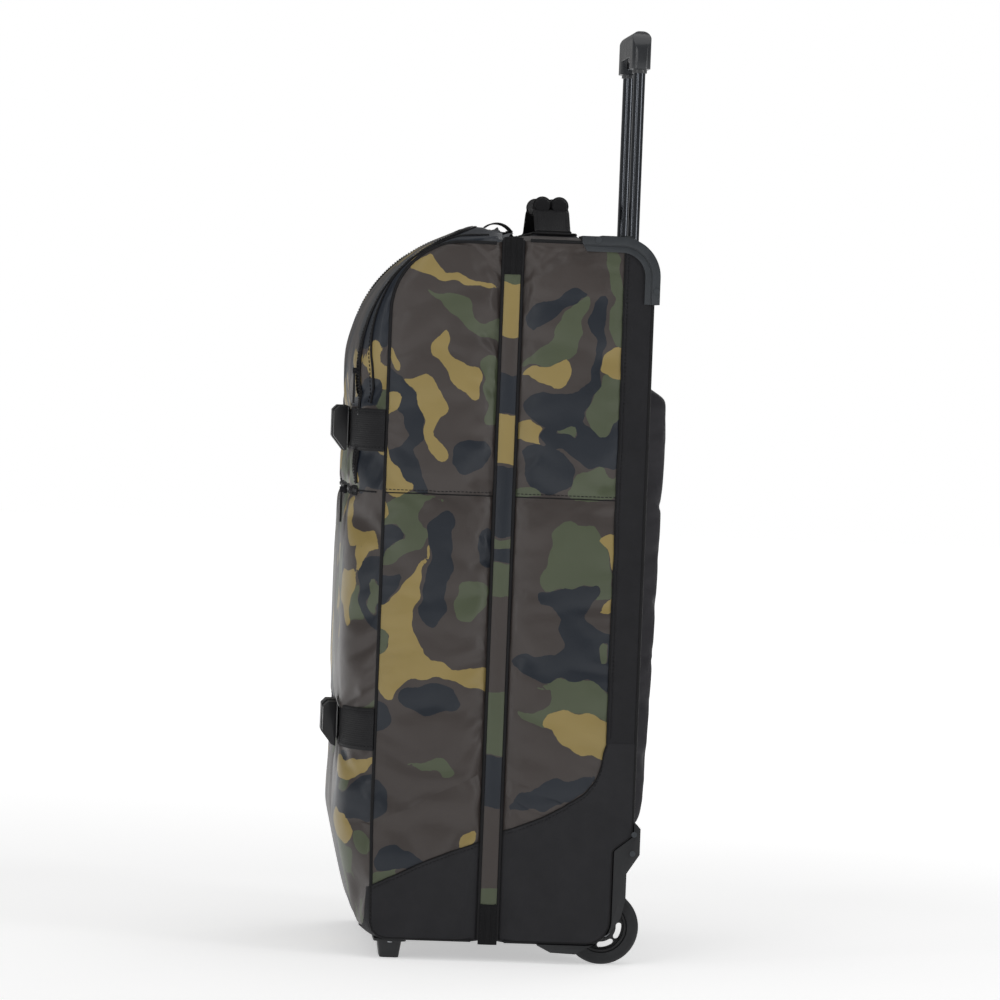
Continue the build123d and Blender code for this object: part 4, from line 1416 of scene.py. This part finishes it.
def make_hard_parts():
    softened("trolley_grip", grip_plastic, 2.0, 4)
    softened("release_button", button_plastic, 0.8)
    softened("handle_bezel", hard_plastic, 0.7)
    for side in ("_left", "_right"):
        softened("corner_guard" + side, hard_plastic, 1.3, 3)
        softened("wheel_housing" + side, housing_plastic, 0.6)
        softened("foot" + side, housing_plastic, 0.8, 3)
        softened("main_slider" + side, slider_metal, 0.3)
        softened("main_puller" + side, puller_rubber, 0.3)
        dressed("tyre" + side, tyre_rubber)
        softened("wheel_rim" + side, rim_plastic, 0.5)
        dressed("wheel_bearings" + side, steel)
        dressed("inner_tube" + side, tube_metal)
        dressed("outer_tube" + side, tube_metal)
    for level in ("_upper", "_lower"):
        softened("buckle_female" + level, buckle_plastic, 0.8, 3)
        softened("buckle_male" + level, buckle_plastic, 0.6)
        softened("pocket_slider" + level, slider_metal, 0.3)
        softened("pocket_puller" + level, puller_rubber, 0.6)
    for node in ("axles", "foot_rivets", "release_rods"):
        dressed(node, steel)
    dressed("corner_screws", screw_metal)
    for node in ("back_board", "base_board"):
        softened(node, board_plastic, 0.5)
    for node in ("tube_bracket", "tube_glides"):
        dressed(node, hard_plastic)


make_hard_parts()


# ---------------------------------------------------------------- haul handle
def make_haul_base():
    low, high = node_box("haul_base")
    y0, y1 = low[1], high[1]
    soup = Soup()
    xs = np.linspace(low[0], high[0], 48)
    ys = np.linspace(y0, y1, 14)
    co, flat = [], []
    for x in xs:
        for y in ys:
            place = rear_top_at(x)
            edge = min(1.0, min(x - low[0], high[0] - x) / 6, min(y - y0, y1 - y) / 6)
            co.append((x, y, place + 0.4 + 3.6 * smooth(edge) ** 0.5))
            flat.append((x, y))
    soup.add(co, grid_faces(len(xs), len(ys), 0), 0, flat)
    ring = rectangle_ring(low[0] + 2, high[0] - 2, y0 + 2, y1 - 2, 8, (20, 8, 40, 8, 20), 5)
    line = np.array([(x, y, rear_top_at(x) + 3.1) for x, y in ring])
    soup.tube(line, 1.7, 8, 1)
    inner = np.array([(x * 0.955, (y - (y0 + y1) / 2) * 0.8 + (y0 + y1) / 2, rear_top_at(x) + 4.2)
                      for x, y in ring])
    soup.stitches(inner, (0, 0, 1), 2)
    obj = soup.piece("haul_patch", [black_cloth, piping_cloth, thread], "chassis")
    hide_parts("haul_base")


def rear_top_at(x):
    return rear_edge_top + rear_top_crown * share(x)


def make_haul_handle():
    low, high = node_box("haul_grip")
    y = (low[1] + high[1]) / 2
    riser_low, riser_high = node_box("haul_risers")
    width = riser_high[1] - riser_low[1] - 3
    for sign, name in ((1, "left"), (-1, "right")):
        soup = Soup()
        foot_x, top_x = riser_high[0] - 1.5, high[0] - 6
        corners = ((foot_x + 2, 763.6), (foot_x - 14, 764.6), (top_x + 12, 784.5), (top_x - 8, 789.5))
        line2 = rounded_path(corners, (0, 14, 20, 0), (3, 8, 4), (0, 5, 5, 0))
        line = np.array([(sign * x, y, z) for x, z in line2])
        along = directions(line)
        normals = np.cross(along, (0, 1, 0))
        normals *= np.sign(normals[:, 2:3])
        soup.ribbon(line, (0, 1, 0), normals, width, 2.4)
        for side in (-width / 2 + 3.5, width / 2 - 3.5):
            soup.stitches(line + np.array((0, side, 0)) + normals * 1.25, normals, 1)
        obj = soup.piece("haul_webbing_" + name, [webbing, thread], None)
        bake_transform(obj)
        if sign > 0:
            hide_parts("haul_risers")
    make_haul_grip(low, high, y)


def make_haul_grip(low, high, y):
    """Padded sleeve folded round the webbing into two rolls, with bound ends."""
    radius = (high[2] - low[2]) / 2 - 0.3
    z = (high[2] + low[2]) / 2
    soup = Soup()
    xs = np.concatenate(([low[0] + 0.5, low[0] + 2, low[0] + 4], np.linspace(low[0] + 7, high[0] - 7, 40),
                         [high[0] - 4, high[0] - 2, high[0] - 0.5]))
    for sign in (-1, 1):
        rows = []
        sides = 24
        for x in xs:
            end = min(x - low[0], high[0] - x)
            size = radius * (0.8 + 0.2 * smooth(end / 5) + 0.012 * math.sin(x / 3.1))
            for k in range(sides):
                a = 2 * math.pi * k / sides
                rows.append((x, y + sign * (radius - 0.2) + size * math.cos(a), z + size * math.sin(a)))
        soup.skin(rows, sides, 0, [(x, k * 2.4) for x in xs for k in range(sides)])
        for end_x in (low[0] + 6, high[0] - 6):
            hoop = [(end_x, y + sign * (radius - 0.2) + (radius + 0.1) * math.cos(a),
                     z + (radius + 0.1) * math.sin(a)) for a in np.linspace(0, 2 * math.pi, 24, False)]
            soup.tube(hoop, 0.8, 6, 1, closed=True, up=(1, 0, 0))
    bottom = np.array([(x, y, z - radius * 0.72) for x in np.linspace(low[0] + 3, high[0] - 3, 30)])
    soup.ribbon(bottom, (0, 1, 0), (0, 0, -1), radius * 2.2, 1.6, 0)
    crest = bottom + np.array((0, 0, radius * 0.9))
    soup.stitches(crest, (0, 0, 1), 1)
    obj = soup.piece("haul_sleeve", [webbing, thread], "haul_handle")
    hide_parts("haul_grip")


make_haul_base()
make_haul_handle()


# ---------------------------------------------------------------- padded cover over the trolley tubes
cover_corner = 26.0                          # radius of its corners
channel_x, channel_low, channel_high = 62, 175, 560    # two sewn channels over the tubes


def make_back_cover():
    low, high = node_box("back_cover")
    profile = ((low[2], 163), (320, 168.5), (480, 171.5), (560, 173.6), (588, 173.6), (high[2], 163))
    profile_z, profile_y = zip(*profile)
    xs = np.linspace(low[0], high[0], 61)
    zs = np.linspace(low[2], high[2], 90)
    co, flat, edge = [], [], []
    for z in zs:
        inset_z = min(z - low[2], high[2] - z)
        short = max(0.0, cover_corner - inset_z)
        narrow = cover_corner - math.sqrt(max(0.0, cover_corner ** 2 - short ** 2))
        for x in xs:
            at = x * (high[0] - narrow) / high[0]
            rim = min(high[0] - narrow - abs(at), inset_z)
            lift = smooth(rim / 16) ** 0.55
            y = rear_edge_y + 1.4 + (np.interp(z, profile_z, profile_y) - rear_edge_y - 1.4) * lift
            co.append((at, y, z))
            flat.append((at, z))
            edge.append(rim < 0.5)
    mesh = grid_mesh("trolley_cover", co, grid_faces(len(zs), len(xs), 0))
    obj = placed("trolley_cover", mesh)
    if mesh.polygons[len(mesh.polygons) // 2].normal.y < 0:
        mesh.flip_normals()
    channels = np.array([abs(abs(x) - channel_x) < 3 and channel_low < z < channel_high
                         for x, _, z in co])
    inflate(obj, np.array(edge) | channels, 2.5, 3.0)
    write_uv(mesh, flat)
    subdivide(obj)
    obj.data.materials.append(cover_cloth)
    shade(obj, 60)
    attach(obj, "chassis")
    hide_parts("back_cover")
    trim_back_cover(low, high, BVHTree.FromObject(obj, bpy.context.evaluated_depsgraph_get()))


def trim_back_cover(low, high, tree):
    ring = rectangle_ring(low[0], high[0], low[2], high[2], cover_corner, (20, 60, 40, 60, 20), 8)
    soup = Soup()
    soup.tube([(x, rear_edge_y + 1.6, z) for x, z in ring], 2.0, 10, up=(0, 1, 0))
    for side in (-channel_x, channel_x):
        line = []
        for z in np.linspace(channel_low, channel_high, 100):
            hit = tree.ray_cast(Vector((side * MM, 0.3, z * MM)), Vector((0, -1, 0)))[0]
            line.append((side, hit.y / MM + 0.1, z))
        soup.stitches(line, (0, 1, 0), 1)
    soup.piece("trolley_cover_trim", [piping_cloth, thread], "chassis")


make_back_cover()


# ---------------------------------------------------------------- inside
tie_strap_x = 80


def make_tie_straps():
    low, high = node_box("tie_straps")
    soup = Soup()
    y = low[1] - 0.2
    for x in (-tie_strap_x, tie_strap_x):
        zs = np.linspace(low[2], high[2], 60)
        line = [(x, y - 1.4 * math.sin((z - low[2]) / 40) ** 2, z) for z in zs]
        soup.ribbon(line, (1, 0, 0), (0, -1, 0), 38, 1.6)
        mid = (low[2] + high[2]) / 2
        soup.ribbon([(x, y - 4.5, mid + dz) for dz in np.linspace(-32, 32, 10)], (1, 0, 0),
                    (0, -1, 0), 44, 6.0, 2, crown=1.4)
    obj = soup.piece("packing_straps", [webbing, thread, buckle_plastic], "chassis")
    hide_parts("tie_straps")


def make_mesh_pocket():
    low, high = node_box("mesh_pocket")
    pitch = 7.0
    columns, rows = int((high[0] - low[0]) / pitch), int((high[2] - low[2]) / pitch)
    co = []
    for r in range(rows + 1):
        for c in range(columns + 1):
            u, v = c / columns, r / rows
            sag = 3.2 * math.sin(math.pi * u) * math.sin(math.pi * v) ** 0.5
            x = low[0] + (high[0] - low[0]) * u + (pitch / 2 if r % 2 and 0 < c < columns else 0)
            co.append((x, high[1] - 0.8 + sag, low[2] + (high[2] - low[2]) * v))
    soup = Soup()
    soup.add(co, grid_faces(rows + 1, columns + 1, 0))
    obj = soup.piece("lid_net", [net], None, flat=True)
    wire = obj.modifiers.new("Threads", "WIREFRAME")
    wire.thickness = 0.9 * MM
    apply_modifiers(obj)
    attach(obj, "lid")
    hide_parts("mesh_pocket")
    binding = Soup()
    ring = ((low[0], low[2]), (high[0], low[2]), (high[0], high[2]), (low[0], high[2]), (low[0], low[2]))
    for (xa, za), (xb, zb) in zip(ring, ring[1:]):
        line = np.array([(xa + (xb - xa) * t, high[1] - 0.4, za + (zb - za) * t)
                         for t in np.linspace(0, 1, 40)])
        across = (1, 0, 0) if xa == xb else (0, 0, 1)
        binding.ribbon(line, across, (0, 1, 0), 12, 1.6)
        binding.stitches(line + np.array((0, 0.85, 0)), (0, 1, 0), 1)
    binding.piece("lid_net_binding", [webbing, thread], "lid")


make_tie_straps()
make_mesh_pocket()


# ---------------------------------------------------------------- floor, light and camera
def make_stage():
    mesh = bpy.data.meshes.new("studio_floor")
    reach = 14.0
    mesh.from_pydata([(-reach, -reach, 0), (reach, -reach, 0), (reach, reach, 0), (-reach, reach, 0)], [],
                     [(0, 1, 2, 3)])
    floor = placed("studio_floor", mesh)
    g = Graph("studio_floor")
    pale = worn(g, (0.9, 0.9, 0.9, 1.0), 0.6, 0.004)
    away = g.node("VectorMath", {0: g.place("Object")}, operation="LENGTH").outputs["Value"]
    glow = g.range(away, 0.8, 4.0, 0.48, 0.92)
    floor.data.materials.append(g.finish(Base_Color=pale, Roughness=0.7, Specular_IOR_Level=0.1,
                                         Emission_Color=(1.0, 1.0, 1.0, 1.0), Emission_Strength=glow))


aim = (0, 0, 0.45)
lights = (
    ("key_light", (3.1, -1.5, 2.1), (1.0, 2.4), 16),
    ("edge_light", (2.1, -2.7, 0.9), (0.45, 2.4), 12),
    ("side_light", (2.2, 2.9, 1.4), (0.8, 2.4), 20),
    ("top_light", (0.2, 0.2, 3.2), (2.6, 2.6), 24),
    ("back_light", (-2.6, 1.6, 2.2), (1.6, 2.0), 12),
)


def add_light(name, place, size, power):
    data = bpy.data.lights.new(name, "AREA")
    data.shape = "RECTANGLE"
    data.size, data.size_y = size
    data.energy = power
    light = placed(name, data)
    light.location = place
    light.rotation_euler = (Vector(aim) - Vector(place)).to_track_quat("-Z", "Y").to_euler()


def make_lights():
    world = bpy.data.worlds.new("studio")
    world.use_nodes = True
    scene.world = world
    tree = world.node_tree
    background = tree.nodes["Background"]
    background.inputs["Color"].default_value = (1.0, 1.0, 1.0, 1.0)
    background.inputs["Strength"].default_value = 0.2
    seen = tree.nodes.new("ShaderNodeBackground")
    seen.inputs["Color"].default_value = (1.0, 1.0, 1.0, 1.0)
    path = tree.nodes.new("ShaderNodeLightPath")
    mix = tree.nodes.new("ShaderNodeMixShader")
    tree.links.new(path.outputs["Is Camera Ray"], mix.inputs[0])
    tree.links.new(background.outputs[0], mix.inputs[1])
    tree.links.new(seen.outputs[0], mix.inputs[2])
    tree.links.new(mix.outputs[0], tree.nodes["World Output"].inputs["Surface"])
    for light in lights:
        add_light(*light)


camera_place, camera_target = (6.195, -0.3915, 0.64), (0.195, 0.0001, 0.4813)
camera_lens, camera_roll = 208.2, 2.2        # millimetres, degrees


def make_camera():
    data = bpy.data.cameras.new("camera")
    data.lens, data.sensor_width = camera_lens, 36.0
    data.clip_end = 100
    camera = placed("camera", data)
    place, target = Vector(camera_place), Vector(camera_target)
    ahead = (target - place).normalized()
    level = ahead.cross(Vector((0, 0, 1))).normalized()
    roll = math.radians(camera_roll)
    right = level * math.cos(roll) + level.cross(ahead) * math.sin(roll)
    up = right.cross(ahead)
    matrix = camera.matrix_world.copy()
    for k, axis in enumerate((right, up, -ahead, place)):
        matrix.col[k][:3] = axis
    camera.matrix_world = matrix
    scene.camera = camera
    scene.view_settings.view_transform = "Standard"


make_stage()
make_lights()
make_camera()
